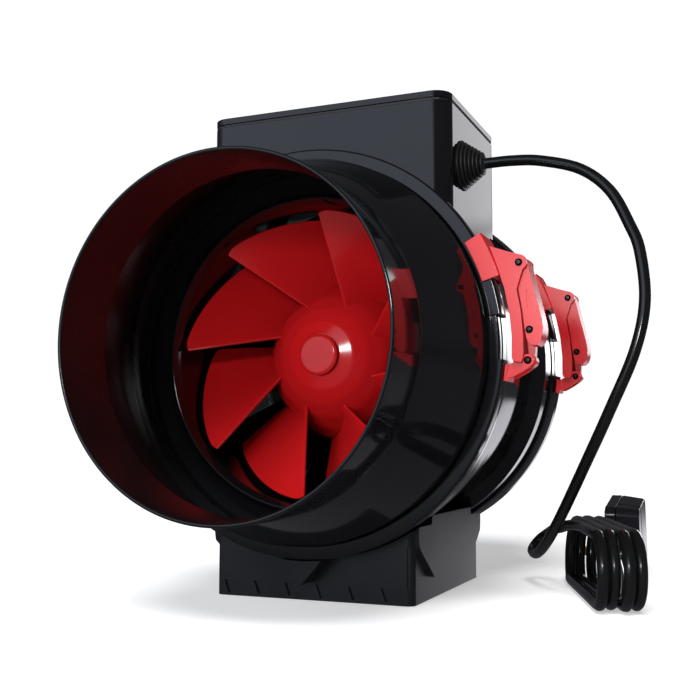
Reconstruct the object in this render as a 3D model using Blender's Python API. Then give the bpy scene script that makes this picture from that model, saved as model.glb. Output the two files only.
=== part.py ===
"""Inline duct fan, nominal 200 mm: a mixed-flow fan block between two duct spigots, on a low stand.

Metres, +Z up. The fan's axis runs along Y, the inlet faces -Y, and the origin is the middle of
the stand's underside. Angles round the axis are counted from +X towards +Z.
"""

from math import cos, pi, radians, sin

import bmesh
import bpy
from mathutils import Matrix, Vector

# Driving dimensions
AXIS_HEIGHT = 0.1536
BODY_LENGTH = 0.391
SPIGOT_RADIUS = 0.100
SPIGOT_WALL = 0.0022
COLLAR_LENGTH = 0.0415
CONE_RADIUS = 0.1186
BAND_RADIUS = 0.1275
BAND_OUTER_Y = 0.088
BAND_INNER_Y = 0.067
SHOULDER_RADIUS = 0.124
SHOULDER_Y = 0.0475
BARREL_RADIUS = 0.115
BARREL_WALL = 0.0074
THROAT_RADIUS = 0.0954
BLADE_RADIUS = 0.0925
BLADE_COUNT = 8
VANE_COUNT = 9
HUB_RADIUS = 0.057
SHAFT_RADIUS = 0.005
BOX_WIDTH = 0.1712
BOX_DEPTH = 0.1208
BOX_MIDDLE_Y = 0.0051
BOX_TOP = 0.3207
BOX_WALL = 0.0026
BOX_CORNER = 0.0115
STAND_WIDTH = 0.1342
STAND_DEPTH = 0.1453
LEAD_DIAMETER = 0.007
GLAND_Y = -0.021
GLAND_Z = 0.279

GAP = 0.0004
RING_STEPS = 40
AXIS = Vector((0, 0, AXIS_HEIGHT))
ALONG_AXIS = Vector((0, -1, 0))


def clear_scene():
    for obj in list(bpy.data.objects):
        bpy.data.objects.remove(obj, do_unlink=True)


def material(name, colour, roughness, metallic=0.0):
    made = bpy.data.materials.get(name)
    if made is None:
        made = bpy.data.materials.new(name)
        made.use_nodes = True
        shader = made.node_tree.nodes["Principled BSDF"]
        shader.inputs["Base Color"].default_value = (*colour, 1)
        shader.inputs["Roughness"].default_value = roughness
        shader.inputs["Metallic"].default_value = metallic
    return made


def black_plastic():
    return material("gloss_black_plastic", (0.006, 0.006, 0.007), 0.12)


def red_plastic():
    return material("red_plastic", (0.5, 0.01, 0.012), 0.25)


def rubber():
    return material("black_rubber", (0.012, 0.012, 0.012), 0.6)


def steel():
    return material("steel", (0.55, 0.56, 0.58), 0.3, 1.0)


def black_screw():
    return material("black_screw", (0.03, 0.03, 0.03), 0.35, 1.0)


def brass():
    return material("brass", (0.7, 0.5, 0.2), 0.3, 1.0)


def copper():
    return material("copper", (0.7, 0.32, 0.18), 0.35, 1.0)


def place(name, bm, finish, at=(0, 0, 0), parent=None):
    """Makes an object of a bmesh, with its normals out and its round faces smooth."""
    bmesh.ops.remove_doubles(bm, verts=bm.verts, dist=1e-6)
    bmesh.ops.recalc_face_normals(bm, faces=bm.faces)
    mesh = bpy.data.meshes.new(name)
    bm.to_mesh(mesh)
    bm.free()
    mesh.shade_smooth()
    mesh.set_sharp_from_angle(angle=radians(30))
    obj = bpy.data.objects.new(name, mesh)
    obj.location = at
    obj.parent = parent
    bpy.context.scene.collection.objects.link(obj)
    if finish:
        mesh.materials.append(finish)
    return obj


def polar(radius, degrees, y=0.0):
    """A point round the fan's axis, counted from the axis."""
    return Vector((radius * cos(radians(degrees)), y, radius * sin(radians(degrees))))


def spin_profile(bm, profile, centre=(0, 0, 0), axis=ALONG_AXIS, steps=RING_STEPS):
    """A full turn of a closed profile of points about an axis."""
    verts = [bm.verts.new(point) for point in profile]
    edges = [bm.edges.new((a, b)) for a, b in zip(verts, verts[1:] + verts[:1])]
    bmesh.ops.spin(
        bm, geom=verts + edges, cent=centre, axis=axis, angle=2 * pi, steps=steps, use_merge=True
    )


def spin_solid(bm, profile, centre, axis, steps):
    """A full turn of an open profile that starts and ends on the axis, so the solid has no bore."""
    verts = [bm.verts.new(point) for point in profile]
    edges = [bm.edges.new(pair) for pair in zip(verts, verts[1:])]
    bmesh.ops.spin(
        bm, geom=verts + edges, cent=centre, axis=axis, angle=2 * pi, steps=steps, use_merge=True
    )


def turned(name, profile, finish, steps=RING_STEPS, parent=None):
    """A ring about the fan's axis, from (y, radius) points."""
    bm = bmesh.new()
    spin_profile(bm, [Vector((radius, y, 0)) for y, radius in profile], steps=steps)
    return place(name, bm, finish, AXIS, parent)


def arc_ring(name, profile, start, end, finish, steps):
    """Part of a ring about the fan's axis, closed at both ends."""
    bm = bmesh.new()
    verts = [bm.verts.new(polar(radius, start, y)) for y, radius in profile]
    face = bm.faces.new(verts)
    bmesh.ops.spin(
        bm, geom=[face], cent=(0, 0, 0), axis=ALONG_AXIS, angle=radians(end - start), steps=steps
    )
    return place(name, bm, finish, AXIS)


def add_prism(bm, outline, sweep):
    """An outline of points, filled and extruded by a vector."""
    verts = [bm.verts.new(point) for point in outline]
    face = bm.faces.new(verts)
    moved = bmesh.ops.extrude_face_region(bm, geom=[face])["geom"]
    bmesh.ops.translate(
        bm, vec=sweep, verts=[item for item in moved if isinstance(item, bmesh.types.BMVert)]
    )


def prism(name, outline, sweep, finish, at=(0, 0, 0), parent=None):
    bm = bmesh.new()
    add_prism(bm, outline, Vector(sweep))
    return place(name, bm, finish, at, parent)


def add_box(bm, low, high):
    size = Vector(high) - Vector(low)
    middle = (Vector(high) + Vector(low)) / 2
    bmesh.ops.create_cube(bm, size=1, matrix=Matrix.Translation(middle) @ Matrix.Diagonal((*size, 1)))


def block(name, low, high, finish, at=(0, 0, 0), parent=None, round_upright=0.0, segments=3):
    """A box between two corners, its upright edges rounded on request."""
    bm = bmesh.new()
    add_box(bm, low, high)
    if round_upright:
        upright = [e for e in bm.edges if abs(e.verts[0].co.z - e.verts[1].co.z) > 1e-5]
        bmesh.ops.bevel(
            bm, geom=upright, offset=round_upright, segments=segments, profile=0.5, affect="EDGES"
        )
    return place(name, bm, finish, at, parent)


def add_rod(bm, start, end, radius, steps=16):
    """A cylinder between two points."""
    start, end = Vector(start), Vector(end)
    along = end - start
    turn = along.to_track_quat("Z", "Y").to_matrix().to_4x4()
    bmesh.ops.create_cone(
        bm, cap_ends=True, segments=steps, radius1=radius, radius2=radius, depth=along.length,
        matrix=Matrix.Translation((start + end) / 2) @ turn,
    )


def rod(name, start, end, radius, finish, steps=16, at=(0, 0, 0), parent=None):
    bm = bmesh.new()
    add_rod(bm, start, end, radius, steps)
    return place(name, bm, finish, at, parent)


def screw(name, head_face, point, head_radius, head_depth, shank_radius, finish, steps=12):
    """A flat-headed screw from the outer face of its head to its point, as one turned solid."""
    head_face, point = Vector(head_face), Vector(point)
    along = (point - head_face).normalized()
    side = along.orthogonal().normalized()
    length = (point - head_face).length
    profile = [(0, 0), (0, head_radius), (head_depth, head_radius),
               (head_depth, shank_radius), (length, shank_radius), (length, 0)]
    bm = bmesh.new()
    spin_solid(bm, [head_face + along * d + side * r for d, r in profile], head_face, along, steps)
    return place(name, bm, finish)


def hidden(obj):
    obj.hide_render = True
    obj.display_type = "WIRE"
    return obj


def boolean(obj, cutter, operation="DIFFERENCE"):
    step = obj.modifiers.new(f"{operation.lower()}_{cutter.name}", "BOOLEAN")
    step.operation = operation
    step.object = cutter


# ---------------------------------------------------------------- casing and duct spigots


def duct_spigot(name, side):
    """Collar, cone and clamping flange as one thin shell; side is -1 for the inlet, +1 for the outlet."""
    rim = BODY_LENGTH / 2
    collar_end = rim - COLLAR_LENGTH
    cone_end = 0.099
    inner = SPIGOT_RADIUS - SPIGOT_WALL
    profile = [
        (rim, SPIGOT_RADIUS), (collar_end, SPIGOT_RADIUS), (cone_end, CONE_RADIUS),
        (0.0857, CONE_RADIUS), (0.0857, 0.1246), (0.0806, 0.1246),
        (0.0806, 0.1160), (cone_end, 0.1160), (collar_end + 0.0006, inner), (rim, inner),
    ]
    return turned(name, [(side * y, r) for y, r in profile], black_plastic())


def flange_seal(name, side):
    profile = [(0.0803, 0.1235), (0.0773, 0.1235), (0.0773, 0.1175), (0.0803, 0.1175)]
    return turned(name, [(side * y, r) for y, r in profile], rubber())


def wire_hole():
    """The way of the motor's cable from the hub up into the terminal box."""
    return hidden(rod("wire_hole", (0, 0.020, 0.190), (0, 0.020, 0.276), 0.0042, None))


def centre_casing(hole):
    """Barrel with a shoulder and a clamping flange at each end."""
    half = [
        (SHOULDER_Y - 0.0025, BARREL_RADIUS), (SHOULDER_Y, SHOULDER_RADIUS),
        (0.0666, SHOULDER_RADIUS), (0.0666, CONE_RADIUS), (0.0692, CONE_RADIUS),
        (0.0692, 0.1246), (0.0770, 0.1246), (0.0770, 0.1170), (0.0736, 0.1170),
        (0.0736, BARREL_RADIUS - BARREL_WALL),
    ]
    profile = [(-y, r) for y, r in reversed(half)] + half
    casing = turned("centre_casing", profile, black_plastic())
    boolean(casing, hole)
    for name, y in (("front_screw_hole", -0.025), ("rear_screw_hole", 0.025)):
        boolean(casing, hidden(rod(name, (0, y, 0.030), (0, y, 0.050), 0.0024, None, 12)))
    return casing


def inlet_nozzle():
    """The bell mouth that leads the air to the impeller, held in the casing's front rebate."""
    profile = [
        (-0.0769, 0.1167), (-0.0739, 0.1167), (-0.0739, 0.1010), (-0.0700, 0.0990),
        (-0.0450, 0.0980), (-0.0450, THROAT_RADIUS), (-0.0740, THROAT_RADIUS),
        (-0.0780, 0.0962), (-0.0796, 0.0978), (-0.0796, 0.0992), (-0.0769, 0.1015),
    ]
    return turned("inlet_nozzle", profile, black_plastic())


def guide_vanes(hub_radius, ring_radius):
    """The curved vanes that straighten the air, as separate bodies of one cutter mesh."""
    bm = bmesh.new()
    stations = 4
    first, last, thickness = 0.004, 0.056, 0.0018
    for vane in range(VANE_COUNT):
        phase = 90 + 20 + vane * 360 / VANE_COUNT
        rings = []
        for station in range(stations):
            share = station / (stations - 1)
            y = first + (last - first) * share
            angle = phase - 26 * (1 - share) ** 2
            rings.append([])
            for radius, side in ((hub_radius, -1), (hub_radius, 1), (ring_radius, 1), (ring_radius, -1)):
                point = polar(radius, angle, y)
                across = polar(1, angle + 90)
                rings[-1].append(bm.verts.new(point + across * side * thickness / 2))
        for a, b in zip(rings, rings[1:]):
            for i in range(4):
                bm.faces.new((a[i], a[(i + 1) % 4], b[(i + 1) % 4], b[i]))
        bm.faces.new(rings[0])
        bm.faces.new(rings[-1])
    return hidden(place("vane_set", bm, None, AXIS))


def stator(hole):
    """Outer ring, hub tube with the motor's mounting plate, and the guide vanes between them."""
    bm = bmesh.new()
    ring = [(0, 0.1072), (0.070, 0.1072), (0.070, 0.1046), (0, 0.1046)]
    hub = [
        (-0.006, 0.0590), (0.062, 0.0590), (0.062, 0.0562), (0.058, 0.0562),
        (0.058, 0.0090), (0.054, 0.0090), (0.054, 0.0562), (-0.006, 0.0562),
    ]
    for profile in (ring, hub):
        spin_profile(bm, [Vector((radius, y, 0)) for y, radius in profile])
    made = place("stator_vanes", bm, black_plastic(), AXIS)
    boolean(made, guide_vanes(0.0580, 0.1058), "UNION")
    boolean(made, hole)
    return made


def tail_cone():
    """The fairing that closes the flow behind the motor, with a small drain hole at its tip."""
    outer = [(0.0623, 0.0588), (0.080, 0.0565), (0.098, 0.0485), (0.110, 0.0370), (0.117, 0.0220),
             (0.119, 0.0030)]
    inner = [(0.117, 0.0030), (0.115, 0.0210), (0.1085, 0.0352), (0.0968, 0.0463), (0.079, 0.0541),
             (0.0623, 0.0564)]
    return turned("tail_cone", outer + inner, black_plastic(), 28)


# ---------------------------------------------------------------- motor and impeller


def motor():
    can = [
        (0.0020, 0.046), (0.0537, 0.046), (0.0537, 0.0133), (0.0455, 0.0133), (0.0455, 0.0110),
        (0.0435, 0.0110), (0.0435, 0.042), (0.0145, 0.042), (0.0145, 0.0110), (0.0125, 0.0110),
        (0.0125, 0.0133), (0.0020, 0.0133),
    ]
    turned("motor_housing", can, material("motor_grey", (0.25, 0.26, 0.27), 0.4, 1.0), 28)
    for name, first, last, inner, outer, finish in (
        ("motor_winding", 0.0160, 0.0420, 0.0250, 0.0416, copper()),
        ("front_bearing", 0.0030, 0.0121, SHAFT_RADIUS + GAP, 0.0129, steel()),
        ("rear_bearing", 0.0459, 0.0534, SHAFT_RADIUS + GAP, 0.0129, steel()),
    ):
        turned(name, [(first, outer), (last, outer), (last, inner), (first, inner)], finish, 28)


def blade_point(along, span):
    """A point of a blade's middle surface: along runs from its leading edge, span from its root."""
    root_radius = 0.0310 + 0.0235 * along
    root_y = -0.0535 + 0.0405 * along ** 1.15
    root_angle = 25.5 - 36 * along
    tip_y = -0.0720 + 0.0420 * along ** 1.3
    tip_angle = 46.5 - 50 * along
    bow = span ** 1.25
    return polar(
        root_radius + (BLADE_RADIUS - root_radius) * span,
        root_angle + (tip_angle - root_angle) * bow,
        root_y + (tip_y - root_y) * bow,
    )


def blade_normal(along, span):
    step = 0.01
    across = blade_point(along + step, span) - blade_point(along - step, span)
    outward = blade_point(along, span + step) - blade_point(along, max(span - step, 0.0))
    return across.cross(outward).normalized()


def blade_set():
    """All the blades as separate bodies of one mesh, rooted inside the hub."""
    bm = bmesh.new()
    chord_steps, span_steps, thickness = 5, 4, 0.0020
    for blade in range(BLADE_COUNT):
        turn = Matrix.Rotation(-2 * pi * blade / BLADE_COUNT, 3, "Y")
        sides = []
        for half in (thickness / 2, -thickness / 2):
            sides.append([])
            for i in range(chord_steps + 1):
                row = []
                for j in range(span_steps + 1):
                    along, span = 0.02 + 0.96 * i / chord_steps, j / span_steps
                    point = blade_point(along, span) + blade_normal(along, span) * half
                    row.append(bm.verts.new(turn @ point))
                sides[-1].append(row)
        for grid in sides:
            for i in range(chord_steps):
                for j in range(span_steps):
                    bm.faces.new((grid[i][j], grid[i + 1][j], grid[i + 1][j + 1], grid[i][j + 1]))
        edge = [(i, 0) for i in range(chord_steps)] + [(chord_steps, j) for j in range(span_steps)]
        edge += [(i, span_steps) for i in range(chord_steps, 0, -1)]
        edge += [(0, j) for j in range(span_steps, 0, -1)]
        front, back = sides
        for (i, j), (k, m) in zip(edge, edge[1:] + edge[:1]):
            bm.faces.new((front[i][j], front[k][m], back[k][m], back[i][j]))
    return hidden(place("blade_set", bm, None))


def impeller(spin):
    """Domed hub shell with a bored boss, and the swept blades."""
    dome = [
        (-0.0600, 0.0124), (-0.0600, 0.0140), (-0.0580, 0.0225), (-0.0535, 0.0310), (-0.0430, 0.0420),
        (-0.0260, 0.0515), (-0.0080, HUB_RADIUS),
    ]
    inside = [
        (-0.0080, 0.0540), (-0.0260, 0.0480), (-0.0400, 0.0390), (-0.0480, 0.0300),
        (-0.0480, 0.0115), (-0.0220, 0.0115), (-0.0220, SHAFT_RADIUS + GAP),
        (-0.0520, SHAFT_RADIUS + GAP), (-0.0520, 0.0124),
    ]
    bm = bmesh.new()
    spin_profile(bm, [Vector((radius, y, 0)) for y, radius in dome + inside], steps=32)
    made = place("impeller", bm, red_plastic(), parent=spin)
    blades = blade_set()
    blades.parent = spin
    boolean(made, blades, "UNION")


def rotor_parts(spin):
    """What turns with the impeller: cap, nut, shaft and the motor's rotor."""
    cap = [(-0.0603, 0), (-0.0603, 0.0135), (-0.0630, 0.0135), (-0.0640, 0.0125), (-0.0640, 0)]
    bm = bmesh.new()
    spin_solid(bm, [Vector((radius, y, 0)) for y, radius in cap], (0, 0, 0), ALONG_AXIS, 32)
    place("impeller_cap", bm, red_plastic(), parent=spin)

    nut = rod("shaft_nut", (0, -0.0585, 0), (0, -0.0523, 0), 0.0088, steel(), 6, parent=spin)
    bore = rod("nut_bore", (0, -0.07, 0), (0, -0.04, 0), SHAFT_RADIUS + GAP, None, 16, parent=spin)
    boolean(nut, hidden(bore))

    bm = bmesh.new()
    add_rod(bm, (0, -0.0572, 0), (0, 0.0525, 0), SHAFT_RADIUS, 16)
    place("motor_shaft", bm, steel(), parent=spin)

    core = [(0.0170, 0.0244), (0.0410, 0.0244), (0.0410, SHAFT_RADIUS + GAP), (0.0170, SHAFT_RADIUS + GAP)]
    bm = bmesh.new()
    spin_profile(bm, [Vector((radius, y, 0)) for y, radius in core], steps=28)
    place("motor_rotor", bm, steel(), parent=spin)


# ---------------------------------------------------------------- clamps


PIN_A = (0.1445, 18.8)
PIN_B = (0.1420, 3.2)
ANCHOR = (0.1408, -3.9)
PIN_RADIUS = 0.0018


def clamp_band(name, side):
    """A channel-section hoop that pulls two flanges together, open where its latch closes it."""
    outer, inner = BAND_OUTER_Y, BAND_INNER_Y
    skin = BAND_RADIUS - 0.0022
    profile = [
        (outer, BAND_RADIUS), (inner, BAND_RADIUS), (inner, 0.1192), (inner + 0.0018, 0.1192),
        (inner + 0.0018, skin), (outer - 0.0018, skin), (outer - 0.0018, 0.1192), (outer, 0.1192),
    ]
    return arc_ring(name, [(side * y, r) for y, r in profile], 8, 356, black_plastic(), 40)


def round_about(centre, radius, first, last, steps):
    """Points round a polar place, as an arc in degrees of the X-Z plane."""
    middle = polar(*centre)
    return [
        middle + polar(radius, first + (last - first) * i / steps) for i in range(steps + 1)
    ]


def latch_saddle(name, side):
    """The hood riveted over the band's upper end, with two rails that guard the toggle."""
    middle = side * (BAND_OUTER_Y + BAND_INNER_Y) / 2
    outer_face, inner_face = 0.0128, 0.0128
    hood = [
        (-outer_face, 0.1212), (-outer_face, 0.1330), (inner_face, 0.1330), (inner_face, 0.1246),
        (0.0109, 0.1246), (0.0109, 0.1279), (-0.0109, 0.1279), (-0.0109, 0.1212),
    ]
    profile = [(middle - side * y, r) for y, r in hood]
    made = arc_ring(name, profile, 18, 31.5, red_plastic(), 4)
    rail = [polar(0.1322, 20), polar(0.1322, 11), polar(0.1322, 3), polar(0.1322, -4.2),
            polar(0.1385, -4.4), polar(0.1388, 3), polar(0.1388, 11), polar(0.1390, 15)]
    ear = round_about(PIN_A, 0.0046, -50, 70, 5)
    outline = rail + ear + [polar(0.1328, 24)]
    bm = bmesh.new()
    for first in (-0.0102, 0.0082):
        add_prism(bm, [p + Vector((0, middle + first, 0)) for p in outline], Vector((0, 0.0020, 0)))
    rails = hidden(place(f"{name}_rails", bm, None, AXIS))
    boolean(made, rails, "UNION")
    bore = rod(f"{name}_bore", polar(*PIN_A, middle - 0.02), polar(*PIN_A, middle + 0.02),
               PIN_RADIUS + GAP, None, 12, AXIS)
    boolean(made, hidden(bore))


def latch_catch(name, side):
    """The block on the band's lower end, with two lugs for the anchor pin."""
    middle = side * (BAND_OUTER_Y + BAND_INNER_Y) / 2
    foot = [polar(0.1279, -13), polar(0.1279, -5.2), polar(0.1318, -5.2), polar(0.1312, -13)]
    lug = [polar(0.1300, -9.0), polar(0.1300, -5.3)] + round_about(ANCHOR, 0.0036, 150, -50, 6)
    lug += [polar(0.1400, -7.0), polar(0.1330, -9.4)]
    made = prism(name, [p + Vector((0, middle - 0.0072, 0)) for p in foot], (0, 0.0144, 0),
                 red_plastic(), AXIS)
    bm = bmesh.new()
    for first in (-0.0072, 0.0052):
        add_prism(bm, [p + Vector((0, middle + first, 0)) for p in lug], Vector((0, 0.0020, 0)))
    boolean(made, hidden(place(f"{name}_lugs", bm, None, AXIS)), "UNION")
    bore = rod(f"{name}_bore", polar(*ANCHOR, middle - 0.02), polar(*ANCHOR, middle + 0.02),
               PIN_RADIUS + GAP, None, 12, AXIS)
    boolean(made, hidden(bore))


def hinge_empty(name, place_at, middle):
    empty = bpy.data.objects.new(name, None)
    empty.location = AXIS + polar(*place_at, middle)
    bpy.context.scene.collection.objects.link(empty)
    return empty


def latch_lever(name, side, hinge):
    """The handle of the toggle: two cheeks joined by a curved back."""
    middle = side * (BAND_OUTER_Y + BAND_INNER_Y) / 2
    origin = hinge.location - AXIS
    outline = (
        [polar(0.1395, 15.5), polar(0.1393, 9), polar(0.1392, 4), polar(0.1398, 1.2), polar(0.1430, -0.2)]
        + [polar(0.1468, -0.1), polar(0.1492, 1.2), polar(0.1500, 3.4), polar(0.1490, 7), polar(0.1481, 11)]
        + [polar(0.1482, 15)]
        + round_about(PIN_A, 0.0042, 10, 200, 6)
    )
    start = Vector((0, middle - 0.0076, 0)) - origin
    made = prism(name, [p + start for p in outline], (0, 0.0152, 0), red_plastic(), parent=hinge)
    inside = [polar(0.1370, 24), polar(0.1370, -4), polar(0.1445, -4), polar(0.1462, 2), polar(0.1474, 5),
              polar(0.1466, 8), polar(0.1460, 12), polar(0.1462, 14.8), polar(0.1395, 16.2),
              polar(0.1395, 24)]
    start = Vector((0, middle - 0.0050, 0)) - origin
    slot = prism(f"{name}_slot", [p + start for p in inside], (0, 0.0100, 0), None, parent=hinge)
    boolean(made, hidden(slot))
    for label, centre in (("pivot", PIN_A), ("link", PIN_B)):
        middle_point = polar(*centre, middle) - origin
        bore = rod(f"{name}_{label}_bore", middle_point - Vector((0, 0.02, 0)),
                   middle_point + Vector((0, 0.02, 0)), PIN_RADIUS + GAP, None, 12, parent=hinge)
        boolean(made, hidden(bore))


def latch_link(name, side, hinge):
    """The draw link: an eye on the lever's pin and a half-round hook over the anchor pin."""
    middle = side * (BAND_OUTER_Y + BAND_INNER_Y) / 2
    origin = hinge.location - AXIS
    outline = (
        round_about(ANCHOR, PIN_RADIUS + GAP, -90, 90, 6)
        + [polar(*ANCHOR) + Vector((-0.0004, 0, 0.0043)), polar(0.1392, 1.2)]
        + round_about(PIN_B, 0.0032, 200, -20, 7)
        + [polar(0.1446, 1.0)]
        + round_about(ANCHOR, 0.0042, 40, -90, 6)
    )
    start = Vector((0, middle - 0.0032, 0)) - origin
    made = prism(name, [p + start for p in outline], (0, 0.0064, 0), red_plastic(), parent=hinge)
    bore = rod(f"{name}_bore", (0, -0.02, 0), (0, 0.02, 0), PIN_RADIUS + GAP, None, 12, parent=hinge)
    boolean(made, hidden(bore))


def clamp(prefix, side):
    """A band with its toggle latch on the +X side."""
    clamp_band(f"{prefix}_clamp_band", side)
    latch_saddle(f"{prefix}_latch_saddle", side)
    latch_catch(f"{prefix}_latch_catch", side)
    middle = side * (BAND_OUTER_Y + BAND_INNER_Y) / 2
    lever_hinge = hinge_empty(f"{prefix}_lever_axis", PIN_A, middle)
    latch_lever(f"{prefix}_latch_lever", side, lever_hinge)
    link_hinge = hinge_empty(f"{prefix}_link_axis", PIN_B, middle)
    latch_link(f"{prefix}_latch_link", side, link_hinge)
    for label, centre, reach in (("lever_pin", PIN_A, 0.0116), ("link_pin", PIN_B, 0.0088),
                                 ("anchor_pin", ANCHOR, 0.0080)):
        rod(f"{prefix}_{label}", polar(*centre, middle - reach), polar(*centre, middle + reach),
            PIN_RADIUS, black_screw(), 12, AXIS)


# ---------------------------------------------------------------- terminal box


def casing_cutter(name, band_radius, barrel_radius, step_y):
    """A turned solid a little larger than the casing, to cut the pieces that sit on it."""
    profile = [
        (-0.120, band_radius), (-step_y - 0.0025, band_radius), (-step_y, barrel_radius),
        (step_y, barrel_radius), (step_y + 0.0025, band_radius), (0.120, band_radius),
        (0.120, 0.030), (-0.120, 0.030),
    ]
    return hidden(turned(name, profile, None, 64))


def box_corners(inset):
    x = BOX_WIDTH / 2 - inset
    y = BOX_DEPTH / 2 - inset
    return [(sx * x, BOX_MIDDLE_Y + sy * y) for sx in (-1, 1) for sy in (-1, 1)]


def terminal_box(hole):
    half_x, half_y, y = BOX_WIDTH / 2, BOX_DEPTH / 2, BOX_MIDDLE_Y
    wall_top = 0.3144
    floor_low, floor_high = 0.2644, 0.2668
    box = block("terminal_box", (-half_x, y - half_y, 0.200), (half_x, y + half_y, wall_top),
                black_plastic(), round_upright=BOX_CORNER)
    in_x, in_y = half_x - BOX_WALL, half_y - BOX_WALL
    upper = block("box_upper_room", (-in_x, y - in_y, floor_high), (in_x, y + in_y, 0.34), None,
                  round_upright=BOX_CORNER - BOX_WALL)
    lower = block("box_lower_room", (-in_x, y - in_y, 0.15), (in_x, y + in_y, floor_low), None,
                  round_upright=BOX_CORNER - BOX_WALL)
    boolean(box, hidden(upper))
    boolean(box, hidden(lower))
    bm = bmesh.new()
    for px, py in box_corners(0.0070):
        add_rod(bm, (px, py, floor_low + 0.001), (px, py, wall_top), 0.0046, 12)
    boolean(box, hidden(place("box_bosses", bm, None)), "UNION")
    boolean(box, casing_cutter("box_saddle_cutter", 0.1244, BARREL_RADIUS + 0.0004, 0.0446))
    boolean(box, hole)
    bm = bmesh.new()
    for px, py in box_corners(0.0070):
        add_rod(bm, (px, py, 0.298), (px, py, 0.330), 0.0020, 12)
    boolean(box, hidden(place("boss_holes", bm, None)))
    entry = rod("gland_hole", (half_x - 0.01, GLAND_Y, GLAND_Z), (half_x + 0.01, GLAND_Y, GLAND_Z),
                0.0094, None, 20)
    boolean(box, hidden(entry))


def box_gasket():
    half_x, half_y, y = BOX_WIDTH / 2 - 0.0003, BOX_DEPTH / 2 - 0.0003, BOX_MIDDLE_Y
    gasket = block("box_gasket", (-half_x, y - half_y, 0.3147), (half_x, y + half_y, 0.3160), rubber(),
                   round_upright=BOX_CORNER - 0.0003)
    inside = block("gasket_opening", (-half_x + 0.0025, y - half_y + 0.0025, 0.30),
                   (half_x - 0.0025, y + half_y - 0.0025, 0.33), None, round_upright=0.0087)
    boolean(gasket, hidden(inside))
    bm = bmesh.new()
    for px, py in box_corners(0.0070):
        add_rod(bm, (px, py, 0.30), (px, py, 0.33), 0.0024, 12)
    boolean(gasket, hidden(place("gasket_holes", bm, None)))


def box_cover():
    half_x, half_y, y = BOX_WIDTH / 2, BOX_DEPTH / 2, BOX_MIDDLE_Y
    head_seat = BOX_TOP - 0.0024
    cover = block("box_cover", (-half_x, y - half_y, 0.3163), (half_x, y + half_y, BOX_TOP),
                  black_plastic(), round_upright=BOX_CORNER)
    bm = bmesh.new()
    for px, py in box_corners(0.0070):
        profile = [(0, 0.330), (0.0042, 0.330), (0.0042, head_seat), (0.0020, head_seat),
                   (0.0020, 0.310), (0, 0.310)]
        spin_solid(bm, [Vector((px + r, py, z)) for r, z in profile], (px, py, 0), Vector((0, 0, 1)), 12)
    boolean(cover, hidden(place("cover_counterbores", bm, None)))
    for number, (px, py) in enumerate(box_corners(0.0070), 1):
        screw(f"cover_screw_{number}", (px, py, BOX_TOP - 0.0003), (px, py, 0.3005), 0.0038, 0.0018,
              0.0017, black_screw())


def box_fittings():
    """Inside the box: the terminal block, the run capacitor and the motor's cable."""
    bm = bmesh.new()
    add_box(bm, (-0.052, -0.030, 0.2695), (-0.008, -0.014, 0.2795))
    ridge = [f for f in bm.faces if f.normal.z > 0.5]
    bmesh.ops.inset_region(bm, faces=ridge, thickness=0.0025)
    raised = bmesh.ops.extrude_face_region(bm, geom=ridge)["geom"]
    bmesh.ops.delete(bm, geom=ridge, context="FACES")
    bmesh.ops.translate(bm, vec=(0, 0, 0.006), verts=[v for v in raised if isinstance(v, bmesh.types.BMVert)])
    place("terminal_block", bm, material("white_plastic", (0.75, 0.74, 0.70), 0.5))
    rod("run_capacitor", (0.012, 0.034, 0.2832), (0.064, 0.034, 0.2832), 0.0130,
        material("capacitor_grey", (0.35, 0.36, 0.38), 0.35), 24)
    rod("motor_cable", (0, 0.020, 0.2005), (0, 0.020, 0.290), 0.0030, rubber(), 10)


def cable_grommet():
    """A stepped rubber cone pushed through the box's side wall, bored for the lead."""
    wall = BOX_WIDTH / 2
    bore = LEAD_DIAMETER / 2 + GAP
    steps = [0.0165, 0.0147, 0.0129, 0.0111, 0.0093, 0.0075]
    tread = 0.0026
    profile = [(wall - 0.0052, bore), (wall - 0.0052, 0.0118), (wall - BOX_WALL - 0.0003, 0.0118),
               (wall - BOX_WALL - 0.0003, 0.0090), (wall + 0.0003, 0.0090)]
    for number, radius in enumerate(steps):
        start = wall + 0.0003 + number * tread
        profile += [(start, radius), (start + tread, radius - 0.0006)]
    profile.append((wall + 0.0003 + len(steps) * tread, bore))
    bm = bmesh.new()
    spin_profile(bm, [Vector((x, GLAND_Y, GLAND_Z + r)) for x, r in profile],
                 (0, GLAND_Y, GLAND_Z), Vector((1, 0, 0)), 16)
    place("cable_grommet", bm, rubber())


# ---------------------------------------------------------------- stand


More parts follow.
